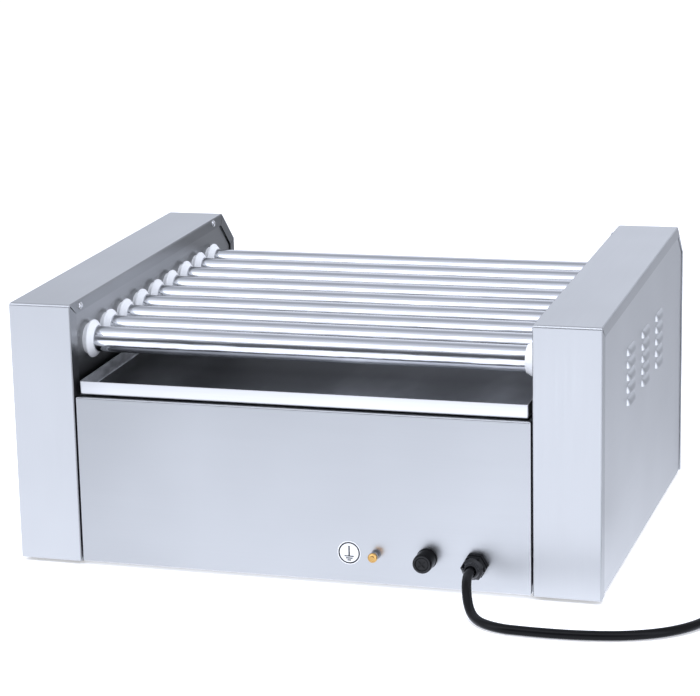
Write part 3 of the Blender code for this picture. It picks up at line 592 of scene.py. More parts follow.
def flat_plate(bm, outlines, matrix, thickness):
    """Plate from a flat outline in local XY; outlines after the first are holes."""
    curve = bpy.data.curves.new("outline", "CURVE")
    curve.dimensions = "2D"
    curve.fill_mode = "BOTH"
    curve.extrude = thickness / 2
    for points in outlines:
        spline = curve.splines.new("POLY")
        spline.points.add(len(points) - 1)
        spline.use_cyclic_u = True
        for spot, (x, y) in zip(spline.points, points):
            spot.co = (x, y, 0.0, 1.0)
    mesh = solid_of(curve)
    mesh.transform(matrix)
    part = bmesh.new()
    part.from_mesh(mesh)
    bmesh.ops.remove_doubles(part, verts=part.verts, dist=1e-6)
    part.to_mesh(mesh)
    part.free()
    bm.from_mesh(mesh)
    bpy.data.meshes.remove(mesh)


def from_side(x):
    """Matrix that lays local XY on the frame's YZ plane at an x."""
    turn = Matrix(((0, 0, 1, 0), (1, 0, 0, 0), (0, 1, 0, 0), (0, 0, 0, 1)))
    return Matrix.Translation((x, 0.0, 0.0)) @ turn


def circle(radius, centre=(0.0, 0.0), count=ROUND):
    return [(centre[0] + radius * math.cos(math.tau * i / count),
             centre[1] + radius * math.sin(math.tau * i / count)) for i in range(count)]


def inset_outline(points, distances):
    """Outline inside a convex one, each side moved in by its own distance."""
    centre = sum((Vector(p) for p in points), Vector((0, 0))) / len(points)
    lines = []
    for i, point in enumerate(points):
        start = Vector(point)
        along = (Vector(points[(i + 1) % len(points)]) - start).normalized()
        normal = Vector((-along.y, along.x))
        if normal.dot(centre - start) < 0:
            normal = -normal
        lines.append((start + normal * distances[i], along))
    result = []
    for i in range(len(points)):
        start_a, along_a = lines[i - 1]
        start_b, along_b = lines[i]
        cross = along_a.x * along_b.y - along_a.y * along_b.x
        offset = start_b - start_a
        reach = (offset.x * along_b.y - offset.y * along_b.x) / cross
        result.append(start_a + along_a * reach)
    return result


def tower_outline():
    """Side view of a tower as (y, z): rear bottom, rear top, chamfer top and bottom, front."""
    front_top = WRAP_HIGH.z
    return [(REAR, FLOOR_GAP), (REAR, front_top - SLOPE * TOP_RUN), (REAR - TOP_RUN, front_top),
            (FRONT, front_top - CHAMFER_DROP), (FRONT, FLOOR_GAP)]


def panel_outline(inset, front_setback, bottom):
    """Outline of a tower's side panel, with its two lowest points at a height."""
    points = inset_outline(tower_outline(), [inset, inset, front_setback, front_setback, 0.0])
    return [(points[0].x, bottom), *[tuple(p) for p in points[1:-1]], (points[-1].x, bottom)]


def roller_place(index):
    """Centre of a roller's bushing as (y, z)."""
    return middle(f"left_bushing_{index + 1}").yz


def cross_screw(bm, points, radii, steps, matrix, arm, recess):
    """Screw head with a cross of dark blocks between two heights, painted shade for its cross
    recess.
    """
    turned(bm, points, radii, matrix, steps=steps, segments=32)
    before = len(bm.faces)
    half_width = 0.00025
    # Two near-black blocks stand in for the shade in the cross recess: painted shade.
    for half_x, half_y in ((arm, half_width), (half_width, arm)):
        block(bm, (-half_x, -half_y, recess[0]), (half_x, half_y, recess[1]), matrix)
    paint_new(bm, before, 1)


def folded_box(bm, low, high, open_way, bend):
    """Shell of a box left open on one side, with rounded folds."""
    block(bm, low, high)
    lids = [face for face in bm.faces if face.normal.dot(Vector(open_way)) > 0.5]
    bmesh.ops.delete(bm, geom=lids, context="FACES")
    folds = [edge for edge in bm.edges if len(edge.link_faces) == 2]
    bmesh.ops.bevel(bm, geom=folds, offset=bend, segments=5, profile=0.5, affect="EDGES",
                    clamp_overlap=True)


def thicken(obj, thickness):
    """Sheet's thickness on a shell, inwards."""
    sheet = obj.modifiers.new("sheet", "SOLIDIFY")
    sheet.thickness = thickness
    sheet.offset = -1.0
    return sheet


# ---------------------------------------------------------------- camera and stage
def make_camera():
    data = bpy.data.cameras.new("camera")
    data.lens = 115.881
    data.sensor_width = 36.0
    data.sensor_fit = "HORIZONTAL"
    camera = add_object("camera", data)
    camera.location = (-0.66105, 2.16723, 0.68201)
    camera.rotation_euler = [math.radians(turn) for turn in (77.4683, 1.1791, 197.1248)]
    bpy.context.scene.camera = camera


def soft_light(name, location, target, size, power):
    """Square soft box aimed at a point."""
    data = bpy.data.lights.new(name, "AREA")
    data.shape = "RECTANGLE"
    data.size = data.size_y = size
    data.energy = power
    data.color = (0.96, 1.0, 1.08)
    light = add_object(name, data)
    light.location = location
    aim = Vector(target) - Vector(location)
    light.rotation_euler = aim.to_track_quat("-Z", "Y").to_euler()
    light.visible_glossy = False


def make_floor():
    """Plain pale floor, bright enough to read as white."""
    bm = bmesh.new()
    bmesh.ops.create_grid(bm, x_segments=8, y_segments=8, size=30.0)
    mesh = mesh_from("floor", bm)
    paint = Finish("floor", (0.80, 0.80, 0.81), 0.0, 0.85, 0.1)
    paint.shader.inputs["Emission Color"].default_value = (1.0, 1.0, 1.0, 1.0)
    paint.shader.inputs["Emission Strength"].default_value = 0.45
    mesh.materials.append(paint.material)
    floor = add_object("floor", mesh)
    floor.visible_glossy = False


def make_studio():
    """White room with a soft box over the rear and a dark wall behind the camera."""
    world = bpy.data.worlds.new("studio")
    world.use_nodes = True
    room = Shading(world.node_tree)
    direction, axis = room.axes("Generated")
    peak = 2.2

    def tones(*stops):
        factor = room.spread(axis["Y"], 0.0, 1.0, -1.0, 1.0)
        return room.ramp(factor, *[((1 + y) / 2, scaled(STUDIO_TINT, tone / peak))
                                   for y, tone in stops])

    upper = tones((-1.0, 0.98), (-0.92, 0.86), (-0.82, 0.74), (-0.70, 0.55), (-0.50, 0.38),
                  (-0.30, 0.45), (0.0, 0.68), (0.16, 0.85), (0.30, 1.08), (0.42, 1.90),
                  (0.50, 2.20), (0.62, 2.20), (0.70, 1.10), (0.78, 0.55), (0.86, 0.13), (1.0, 0.09))
    lower = tones((-1.0, 0.95), (-0.5, 0.85), (0.0, 0.95), (0.4, 1.25), (1.0, 1.34))
    dome = room.blend(room.spread(axis["Z"], 0.0, 1.0, -0.13, 0.04), lower, upper)
    glow = room.nodes.new("ShaderNodeMath")
    glow.operation = "MULTIPLY"
    room.link(room.spread(axis["Y"], 1.0, 0.0, -0.6, 0.1), glow.inputs[0])
    room.link(room.spread(axis["Z"], 0.90, 0.0, -0.38, -0.25), glow.inputs[1])
    dome = room.blend(glow.outputs["Value"], dome, scaled(STUDIO_TINT, 1.0))
    flag = room.nodes.new("ShaderNodeVectorMath")
    flag.operation = "DOT_PRODUCT"
    flag.inputs[1].default_value = Vector((-0.43, -0.89, -0.16)).normalized()
    room.link(direction, flag.inputs[0])
    shade = room.spread(flag.outputs["Value"], 0.0, 0.88, 0.962, 0.992)
    air = room.nodes["Background"]
    room.link(room.blend(shade, dome, (0.05, 0.05, 0.055)), air.inputs["Color"])
    air.inputs["Strength"].default_value = peak
    bpy.context.scene.world = world
    bpy.context.scene.view_settings.view_transform = "Standard"


def make_lights():
    """Soft boxes that light the plastics and the floor; the metals mirror the room."""
    soft_light("key", (1.2, 2.0, 1.6), (0.0, 0.1, 0.1), 1.2, 22.0)
    soft_light("overhead", (-0.2, 0.1, 2.4), (0.0, 0.0, 0.2), 2.4, 34.0)


# ---------------------------------------------------------------- mains cord
def smooth_route(points, spacing):
    """Points at an even spacing along a Catmull-Rom curve through the route's points."""
    padded = [2 * points[0] - points[1], *points, 2 * points[-1] - points[-2]]
    dense = []
    for i in range(1, len(padded) - 2):
        before, start, end, after = padded[i - 1:i + 3]
        for step in range(40):
            t = step / 40
            dense.append(0.5 * (2 * start + (end - before) * t
                                + (2 * before - 5 * start + 4 * end - after) * t ** 2
                                + (3 * start - before - 3 * end + after) * t ** 3))
    dense.append(points[-1])
    total = sum((b - a).length for a, b in zip(dense, dense[1:]))
    count = round(total / spacing)
    result = [dense[0]]
    walked = 0.0
    for a, b in zip(dense, dense[1:]):
        walked += (b - a).length
        if walked >= total * len(result) / count and len(result) < count:
            result.append(b)
    result.append(dense[-1])
    return result


def eased(t):
    """Smooth step from 0 to 1, held outside that range."""
    t = min(1.0, max(0.0, t))
    return t * t * (3 - 2 * t)


def coil_points(steps=40):
    """Four clockwise turns: lower outer, lower inner, upper inner, upper outer."""
    shift_start = 0.72
    points = []
    for i in range(4 * steps + 1):
        turns = i / steps
        inward, climb, outward = [eased((turns - whole - shift_start) / (1 - shift_start))
                                  for whole in range(3)]
        radius = COIL_OUTER_RADIUS - CORD_DIAMETER * (inward - outward)
        angle = -math.tau * turns
        points.append(Vector((COIL_CENTRE[0] + radius * math.cos(angle),
                              COIL_CENTRE[1] + radius * math.sin(angle),
                              CORD_HEIGHT + CORD_DIAMETER * climb)))
    return points


def make_cord(plug, gland):
    """One cord from the gland, along the table, round its coil and into the plug."""
    route = smooth_route([Vector(point) for point in CORD_ROUTE], 0.006)
    coil = coil_points()
    tail = PLUG_TAIL + Vector((0.0, GAP, 0.0))
    join = smooth_route([route[-1], Vector((COIL_X, COIL_CENTRE[1] + 0.016, CORD_HEIGHT)),
                         coil[0]], 0.006)
    rise = smooth_route([coil[-1], Vector((COIL_X, COIL_CENTRE[1] - 0.012, coil[-1].z + 0.0012)),
                         tail + Vector((0.0, 0.008, -0.0006)), tail], 0.005)
    seat = Vector((GLAND_X, FACE + GLAND_LENGTH - 0.0030, GLAND_HEIGHT))
    points = [seat, *route, *join[1:], *coil[1:], *rise[1:]]
    curve = bpy.data.curves.new("mains_cord", "CURVE")
    curve.dimensions = "3D"
    curve.bevel_depth = CORD_DIAMETER / 2
    curve.bevel_resolution = 5
    curve.use_fill_caps = True
    spline = curve.splines.new("POLY")
    spline.points.add(len(points) - 1)
    for spot, point in zip(spline.points, points):
        spot.co = (*point, 1.0)
    spline.use_smooth = True
    curve.materials.append(MATERIALS["rubber"])
    cord = add_object("mains_cord", curve)
    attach(cord, "cabinet")
    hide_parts("power_cord", "cord_coil")
    tie = make_tie()


def make_tie():
    """Flat strap round the coil, over the place where the turns change layer."""
    bm = bmesh.new()
    angle = math.radians(52)
    outward = Vector((math.cos(angle), math.sin(angle), 0.0))
    centre = Vector((*COIL_CENTRE, 0.0)) + outward * COIL_RADIUS
    half = CORD_DIAMETER
    skin = 0.0009
    inner = filleted([(-half, GAP), (half, GAP), (half, GAP + 2 * half), (-half, GAP + 2 * half)],
                     0.0042, steps=6)
    outer = filleted([(-half - skin, 0.0), (half + skin, 0.0),
                      (half + skin, GAP + 2 * half + skin), (-half - skin, GAP + 2 * half + skin)],
                     0.0050, steps=6)
    across = Vector((0.0, 0.0, 1.0)).cross(outward)
    width = 0.006
    rings = []
    for side in (-1, 1):
        for line in (outer, inner):
            rings.append([bm.verts.new(centre + outward * a + across * side * width
                                       + Vector((0.0, 0.0, b))) for a, b in line])
    for first, second in ((0, 2), (3, 1), (1, 0), (2, 3)):
        bridge(bm, rings[first], rings[second])
    return finish_piece("cord_tie", bm, "cabinet", "black")


def make_plug():
    """Round two-pin plug with a ribbed tail and steel side clips."""
    matrix = facing((0, -1, 0), PLUG_TAIL)
    bm = bmesh.new()
    rib_pitch, rib_growth, rib_depth = 0.0044, 0.00052, 0.0008
    ribs = []
    for i in reversed(range(5)):
        start = 0.0025 + rib_pitch * i
        radius = 0.0052 + rib_growth * i
        groove = radius - rib_depth
        ribs += [(radius, start + 0.0026), (radius, start), (groove, start - 0.0004),
                 (groove, start - 0.0016)]
    outline = [(0.0, 0.0610), (0.0120, 0.0610), (0.0130, 0.0620), (0.0165, 0.0620),
               (0.0184, 0.0608), (PLUG_RADIUS, 0.0590), (0.0183, 0.0470), (0.0176, 0.0400),
               (0.0150, 0.0330), (0.0118, 0.0295), (0.0084, 0.0270), (0.0077, 0.0240)]
    lathe(bm, [*outline, *ribs, (0.0046, 0.0003), (0.0046, 0.0), (0.0, 0.0)], matrix)
    before = len(bm.faces)
    for across in (-0.0095, 0.0095):
        pin = [(0.0, 0.0810), (0.0014, 0.0808), (0.0022, 0.0800), (0.0024, 0.0786),
               (0.0024, 0.0600), (0.0, 0.0600)]
        lathe(bm, pin, facing((0, -1, 0), PLUG_TAIL + Vector((across, 0.0, 0.0))), 24)
    for side in (-1, 1):
        clip = PLUG_TAIL + Vector((0.0, -0.0520, side * (PLUG_RADIUS - 0.0014)))
        half_size = Vector((0.0022, 0.0090, 0.0010))
        eased_block(bm, clip - half_size, clip + half_size, 0.0004)
    paint_new(bm, before, 1)
    return finish_piece("mains_plug", bm, "cabinet", "rubber", ["power_plug"],
                        extra=["pins"])


# ---------------------------------------------------------------- towers
def channel_section(low, high, low_lip, high_lip):
    """Folded sheet seen end on: (x, depth) along the outside, and again along the inside."""
    outer = filleted([(low, low_lip), (low, 0.0), (high, 0.0), (high, high_lip)], BEND, False)
    inner = filleted([(low + SHEET, low_lip), (low + SHEET, SHEET), (high - SHEET, SHEET),
                      (high - SHEET, high_lip)], BEND - SHEET, False)
    return outer, inner


def fold_stretch(bm, low, high, start, end, inward, lips, reliefs, lip_places):
    """One straight stretch of a folded strip, from start to end as (y, z) points."""
    before = len(bm.faces)
    along = (end - start).normalized()
    length = (end - start).length
    rings = []
    for line in channel_section(low, high, *lips):
        ends = ([], [])
        for k, (x, depth) in enumerate(line):
            places = (reliefs[0], length - reliefs[1])
            if k in (0, len(line) - 1):
                places = lip_places[min(k, 1)]
            for row, place in zip(ends, places):
                spot = start + along * place + inward * depth
                row.append(bm.verts.new((x, spot.x, spot.y)))
        rings.append(ends)
    (outer_a, outer_b), (inner_a, inner_b) = rings
    loop = (outer_a, outer_b, inner_b, inner_a)
    count = len(outer_a)
    for k in range(count - 1):
        for first, second in zip(loop, (*loop[1:], outer_a)):
            bm.faces.new([first[k], first[k + 1], second[k + 1], second[k]])
    for k in (0, count - 1):
        bm.faces.new([line[k] for line in loop])
    # Lip faces take the darker lip copies of the sheet: painted shade.
    bm.faces.ensure_lookup_table()
    for face in bm.faces[before:]:
        x = face.calc_center_median().x
        if abs(x - (low + high) / 2) > (high - low) / 2 - SHEET:
            face.material_index = 1 if abs(x) < OUTER_X - BEND else 2


def corner_strip(bm, low, high, corner, before, after, steps=8):
    """Rounded bend between two stretches; before and after are their inward normals."""
    half = before.angle(after) / 2
    centre = corner + (before + after).normalized() * (CORNER_BEND / math.cos(half))
    first = math.atan2(-before.y, -before.x)
    turn = (math.atan2(-after.y, -after.x) - first + math.pi) % math.tau - math.pi
    rings = []
    for k in range(steps + 1):
        angle = first + turn * k / steps
        out = Vector((math.cos(angle), math.sin(angle)))
        ring = []
        for x, radius in ((low, CORNER_BEND - BEND), (low + BEND * 0.3, CORNER_BEND - 0.0003),
                          (low + BEND, CORNER_BEND), (high - BEND, CORNER_BEND),
                          (high - BEND * 0.3, CORNER_BEND - 0.0003), (high, CORNER_BEND - BEND),
                          (high - SHEET, CORNER_BEND - BEND), (low + SHEET, CORNER_BEND - BEND)):
            spot = centre + out * radius
            ring.append(bm.verts.new((x, spot.x, spot.y)))
        rings.append(ring)
    for first_ring, second_ring in zip(rings, rings[1:]):
        bridge(bm, first_ring, second_ring)
    bm.faces.new(rings[0])
    bm.faces.new(rings[-1])


def make_wrap(side, sign):
    """Folded strip over a tower: rear, top, chamfer and front, with its turned-in lips."""
    low, high = sorted((sign * INNER_X, sign * OUTER_X))
    outline = tower_outline()
    lips = [(REAR_LIP, TOP_LIP, front, front, 0.0) for front in (INNER_FRONT_LIP, OUTER_FRONT_LIP)]
    lips = lips[::sign]
    lip_corners = [inset_outline(outline, widths) for widths in lips]
    path = [Vector(point) for point in outline]
    alongs = [(end - start).normalized() for start, end in zip(path, path[1:])]
    normals = []
    for start, along in zip(path, alongs):
        normal = Vector((-along.y, along.x))
        normals.append(normal if normal.dot(Vector((0.0, 0.13)) - start) > 0 else -normal)
    reliefs = [0.0, *[CORNER_BEND * math.tan(before.angle(after) / 2)
                      for before, after in zip(normals, normals[1:])], 0.0]
    bm = bmesh.new()
    for i, along in enumerate(alongs):
        start, end = path[i:i + 2]
        places = []
        for corners in lip_corners:
            first, last = [(corner - start).dot(along) for corner in corners[i:i + 2]]
            places.append((first + MITRE_GAP if i else 0.0,
                           last - MITRE_GAP if i < 3 else (end - start).length))
        fold_stretch(bm, low, high, start, end, normals[i], (lips[0][i], lips[1][i]),
                     reliefs[i:i + 2], places)
    for i in range(1, 4):
        corner_strip(bm, low, high, path[i], normals[i - 1], normals[i])
    finish_piece(f"{side}_tower_shell", bm, "cabinet", "top",
                 [f"{side}_tower_wrap"], extra=["lip", "outer_lip"])


def make_inner_panel(side, sign):
    """Plate that carries the bushings."""
    x = sign * (INNER_X + SHEET + GAP + SHEET / 2)
    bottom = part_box(f"{side}_inner_panel")[0].z
    outline = panel_outline(PANEL_INSET, INNER_PANEL_SETBACK, bottom)
    holes = [circle(BUSHING_NECK_RADIUS + GAP, roller_place(i)) for i in range(ROLLER_COUNT)]
    bm = bmesh.new()
    flat_plate(bm, [outline, *holes], from_side(x), SHEET)
    # The plate takes the dark inner copy of the sheet, with painted shade.
    finish_piece(f"{side}_bushing_plate", bm, "cabinet", "inner",
                 [f"{side}_inner_panel"])


def louvre_places():
    for column in range(LOUVRE_COLUMNS):
        for row in range(LOUVRE_ROWS):
            yield (LOUVRE_FIRST_Y - LOUVRE_COLUMN_PITCH * column,
                   LOUVRE_TOP_HEIGHT - LOUVRE_ROW_PITCH * row)


def louvre_hood(bm, sign, face, y, z, across=20, up=9):
    """Pressed hood: open below, rounded ends, falling back to the sheet at its top."""
    outside, inside = [], []
    for skin, grid in ((0.0, outside), (LOUVRE_SKIN, inside)):
        for i in range(across + 1):
            u = -1 + 2 * i / across
            u = math.copysign(abs(u) ** 0.6, u)
            ends = max(0.0, 1 - abs(u) ** 5) ** 0.5
            grid.append([])
            for j in range(up + 1):
                v = (j / up) ** 1.4
                rise = max(0.0, 1 - v ** 2.2) ** 0.8
                reach = (LOUVRE_REACH - skin) * ends * rise - skin * 0.3
                grid[i].append(bm.verts.new((face + sign * reach,
                                             y + u * (LOUVRE_LENGTH / 2 - skin),
                                             z + v * (LOUVRE_HEIGHT - skin))))
        for i in range(across):
            for j in range(up):
                bm.faces.new([grid[i][j], grid[i + 1][j], grid[i + 1][j + 1], grid[i][j + 1]])
    for i in range(across):
        for j in (0, up):
            bm.faces.new([outside[i][j], inside[i][j], inside[i + 1][j], outside[i + 1][j]])
    for j in range(up):
        for i in (0, across):
            bm.faces.new([outside[i][j], inside[i][j], inside[i][j + 1], outside[i][j + 1]])


def make_outer_panel(side, sign):
    """Cover with three columns of pressed louvres over slots."""
    face = sign * (OUTER_X - SHEET - GAP)
    outline = panel_outline(PANEL_INSET, OUTER_PANEL_SETBACK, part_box(f"{side}_outer_panel")[0].z)
    half = LOUVRE_LENGTH / 2 - 0.0022
    rise = LOUVRE_HEIGHT * 0.55
    slots = [[(y - half, z), (y + half, z), (y + half, z + rise), (y - half, z + rise)]
             for y, z in louvre_places()]
    bm = bmesh.new()
    flat_plate(bm, [outline, *slots], from_side(face - sign * SHEET / 2), SHEET)
    before = len(bm.faces)
    for y, z in louvre_places():
        louvre_hood(bm, sign, face, y, z)
    # Hoods take a darker copy of the sheet, painted shade. Faces turned along Y, their end caps,
    # take a light copy, painted highlight.
    paint_new(bm, before, 1)
    bm.normal_update()
    for hood_face in bm.faces[before:]:
        if abs(hood_face.normal.y) > 0.45:
            hood_face.material_index = 2
    finish_piece(f"{side}_louvred_cover", bm, "cabinet", "side",
                 [f"{side}_outer_panel"], smooth=50.0, extra=["hood", "hood_end"])


def make_lip_screws(side, sign):
    """Pan-head screws through a tower's inner top lip."""
    bm = bmesh.new()
    for y, z in ((0.2056, 0.2549), (-0.1627, 0.2747)):
        cross_screw(bm, [(0.0, 0.0025), (0.0017, 0.0025), (0.0035, 0.0011), (0.0036, -0.0002),
                         (0.0, -0.0002)], [0.0, 0.0016, 0.0010, 0.0, 0.0], 5,
                    facing((-sign, 0, 0), (sign * INNER_X, y, z)), 0.0013, (0.0012, 0.00235))
    finish_piece(f"{side}_lip_screws", bm, "cabinet", "screw", extra=["recess_shade"])


# ---------------------------------------------------------------- cabinet and tray
def cut_openings(bm, face, outlines):
    """Fill a flat upright face again, left open inside each (x, z) outline."""
    rim = list(face.edges)
    y = face.calc_center_median().y
    bmesh.ops.delete(bm, geom=[face], context="FACES_ONLY")
    for outline in outlines:
        ring = [bm.verts.new((x, y, z)) for x, z in outline]
        rim += [bm.edges.new((ring[i - 1], ring[i])) for i in range(len(ring))]
    bmesh.ops.triangle_fill(bm, use_beauty=True, edges=rim)


def sharpen_rims(mesh):
    """Keep the open rims of a shell sharp, so that its flat faces stay evenly shaded."""
    bm = bmesh.new()
    bm.from_mesh(mesh)
    for edge in bm.edges:
        if edge.is_boundary:
            edge.smooth = False
    bm.to_mesh(mesh)
    bm.free()


def switch_window(side):
    """Opening for a rocker switch's body as (x, z) points."""
    centre = middle(f"{side}_switch_bezel")
    half_x, half_z = 0.0095, 0.0140
    return [(centre.x + a * half_x, centre.z + b * half_z)
            for a, b in ((-1, -1), (1, -1), (1, 1), (-1, 1))]


def shaft_hole(side):
    """Opening for a knob's shaft as (x, z) points."""
    return circle(0.0040, middle(f"{side}_heat_knob").xz, 32)


def make_folded_panel(name, node, inward, material, openings):
    """Cabinet panel folded in on all four sides, with its openings."""
    bm = bmesh.new()
    folded_box(bm, *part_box(node), (0, inward, 0), BEND)
    cut_openings(bm, max(bm.faces, key=lambda face: face.calc_area()), openings)
    panel = finish_piece(name, bm, "cabinet", material, [node])
    sharpen_rims(panel.data)
    thicken(panel, SHEET).use_even_offset = True


def make_tray():
    """Shallow drip tray with a folded pull at the front, sloping with the rollers."""
    low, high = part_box("drip_tray")
    half = (high.x - low.x) / 2
    front = -TRAY_LENGTH
    top = TRAY_WALL_HEIGHT
    bm = bmesh.new()
    folded_box(bm, (-half, front, 0.0), (half, 0.0, top), (0, 0, 1), 0.0022)
    for face in bm.faces:
        face.material_index = 1 if face.normal.z < -0.95 else 0
    matrix = (Matrix.Translation((0.0, REAR - TRAY_REAR_SETBACK, TRAY_REAR_HEIGHT))
              @ Matrix.Rotation(-SLOPE_ANGLE, 4, "X"))
    bmesh.ops.transform(bm, matrix=matrix, verts=bm.verts)
    tray = finish_piece("drip_tray_pan", bm, "drip_tray", "tray_outside",
                        ["drip_tray"], extra=["tray_wall", "tray_inside"])
    thicken(tray, TRAY_SHEET).material_offset = 1
    root = front + 0.0004
    tip = front - TRAY_PULL_REACH
    pull = filleted([(root, top), (tip, top), (tip, top - TRAY_PULL_DROP),
                     (tip + TRAY_SHEET, top - TRAY_PULL_DROP),
                     (tip + TRAY_SHEET, top - TRAY_SHEET), (root, top - TRAY_SHEET)],
                    [0.0, 0.0020, 0.0004, 0.0004, 0.0010, 0.0], steps=4)
    bm = bmesh.new()
    prism(bm, pull, matrix @ from_side(-half), 2 * half)
    finish_piece("drip_tray_pull", bm, "drip_tray", "tray_outside")
    bm = bmesh.new()
    bead = [(0.0, 0.0013), (0.0008, 0.0011), (0.0013, 0.0004), (0.0014, -0.0004), (0.0, -0.0008)]
    for sign in (-1, 1):
        for y in (-0.0016, front + 0.0016):
            spot = facing((0, 0, 1), (sign * (half - 0.0016), y, top - 0.0013))
            lathe(bm, bead, matrix @ spot, 20)
    finish_piece("tray_corner_welds", bm, "drip_tray", "screw")


def make_foot(end, side):
    """Low moulded rubber foot."""
    name = f"{end}_{side}_foot"
    low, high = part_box(name)
    radius = (high.x - low.x) / 2
    bm = bmesh.new()
    turned(bm, [(0.0, high.z), (radius, high.z), (radius - 0.0009, 0.0), (0.0035, 0.0),
                (0.0030, 0.0014), (0.0, 0.0014)], [0.0, 0.0010, 0.0008, 0.0003, 0.0003, 0.0],
           facing((0, 0, 1), (*middle(name).xy, 0.0)), segments=48)
    finish_piece(f"{name}_pad", bm, "cabinet", "rubber", [name])


# ---------------------------------------------------------------- rollers
def tooth_outline(teeth):
    """Sprocket outline with rounded seats between its teeth."""
    tip = CHAIN_PITCH / (2 * math.sin(math.pi / teeth)) + TOOTH_HEIGHT / 2
    points = []
    per_tooth = 12
    for i in range(teeth * per_tooth):
        angle = math.tau * i / (teeth * per_tooth)
        wave = 0.5 + 0.5 * math.cos(teeth * angle)
        radius = tip - TOOTH_HEIGHT * (1 - eased(wave * 1.25 - 0.10))
        points.append((radius * math.cos(angle), radius * math.sin(angle)))
    return points


def make_roller(index):
    """Polished tube with rolled-in ends and its pressed-on sprocket."""
    node = f"roller_{index + 1}"
    low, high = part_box(node)
    place = roller_place(index)
    inner = ROLLER_RADIUS - ROLLER_WALL
    bm = bmesh.new()
    turned(bm, [(ROLLER_RADIUS, high.x), (ROLLER_RADIUS, low.x), (inner, low.x), (inner, high.x)],
           0.0005, facing((1, 0, 0), (0.0, *place)), True, 3, 96)
    before = len(bm.faces)
    flat_plate(bm, [tooth_outline(SPROCKET_TEETH), circle(ROLLER_RADIUS - 0.0002)],
               facing((1, 0, 0), (SPROCKET_X, *place)), SPROCKET_WIDTH)
    paint_new(bm, before, 1)
    finish_piece(f"{node}_tube", bm, node, "tube", [node], extra=["dark_steel"])


def make_bushing(side, sign, index):
    """White bushing: flat cone on a hub, with a neck through the panel."""
    node = f"{side}_bushing_{index + 1}"
    bore = ROLLER_RADIUS + GAP
    length = RIGHT_BUSHING_LENGTH if sign > 0 else LEFT_BUSHING_LENGTH
    rim = BUSHING_SHOULDER
    nose = rim + length
    tail = -SHEET - BUSHING_NECK_LENGTH
    profile = [(BUSHING_NOSE_RADIUS, nose), (BUSHING_BASE_RADIUS, rim),
               (BUSHING_BASE_RADIUS, BUSHING_STANDOFF), (BUSHING_HUB_RADIUS, BUSHING_STANDOFF),
               (BUSHING_HUB_RADIUS, 0.0001), (BUSHING_NECK_RADIUS, 0.0001),
               (BUSHING_NECK_RADIUS, tail), (bore, tail), (bore, nose)]
    rounds = [0.0004, 0.0008, 0.0005, 0.0, 0.0, 0.0, 0.0003, 0.0002, 0.0002]
    matrix = facing((-sign, 0, 0), (sign * (INNER_X + SHEET + GAP), *roller_place(index)))
    bm = bmesh.new()
    turned(bm, profile, rounds, matrix, True, 4)
    finish_piece(f"{node}_ring", bm, "cabinet", "white", [node])


# ---------------------------------------------------------------- rear fittings
def make_gland():
    """Hexagonal nut with a glossy shoulder and a short collar round the cord."""
    matrix = facing((0, 1, 0), (GLAND_X, FACE, GLAND_HEIGHT))
    low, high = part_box("cable_gland")
    corner = (high.x - low.x) / 2
    base = 0.0052
    bm = bmesh.new()
    prism(bm, filleted(circle(corner, count=6), 0.0010, steps=3), matrix, base, 0.0006)
    prism(bm, filleted(circle(corner - 0.0006, count=6), 0.0012, steps=3),
          matrix @ Matrix.Translation((0.0, 0.0, base)), GLAND_NUT_LENGTH - base, 0.0010)
    before = len(bm.faces)
    long = GLAND_LENGTH
    nut = GLAND_NUT_LENGTH
    turned(bm, [(0.0047, long - 0.0040), (0.0047, long - 0.0004), (0.0060, long),
                (0.0073, long - 0.0016), (0.0076, nut + 0.0034), (0.0102, nut + 0.0008),
                (0.0104, nut - 0.0008), (0.0047, nut - 0.0008)],
           [0.0, 0.0006, 0.0009, 0.0010, 0.0016, 0.0012, 0.0002, 0.0], matrix)
    paint_new(bm, before, 1)
    return finish_piece("cord_gland", bm, "cabinet", "black", ["cable_gland"],
                        extra=["gloss"])


def make_fuse_holder():
    """Round fuse holder with a collar against the panel."""
    matrix = facing((0, 1, 0), (FUSE_X, FACE, FITTING_HEIGHT))
    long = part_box("fuse_holder")[1].y - FACE
    profile = [(0.0062, long), (0.0088, long), (0.0093, long - 0.0030), (0.0094, 0.0022),
               (0.0099, 0.0018), (0.0099, 0.0), (0.0060, 0.0), (0.0060, -0.0260),
               (0.0042, -0.0260), (0.0042, long - 0.0040), (0.0062, long - 0.0040)]
    rounds = [0.0004, 0.0010, 0.0020, 0.0003, 0.0005, 0.0002, 0.0, 0.0, 0.0, 0.0, 0.0]
    bm = bmesh.new()
    turned(bm, profile, rounds, matrix, True, 4)
    rim = [(0.0064, long - 0.0001), (0.0070, long + 0.0003), (0.0080, long + 0.0003),
           (0.0087, long - 0.0005), (0.0086, long - 0.0009), (0.0066, long - 0.0009)]
    before = len(bm.faces)
    turned(bm, rim, 0.0002, matrix, True, 3)
    paint_new(bm, before, 1)
    finish_piece("fuse_body", bm, "cabinet", "black", ["fuse_holder"],
                 extra=["gloss"])
    dress("fuse_cap", "cap", 0.0002)


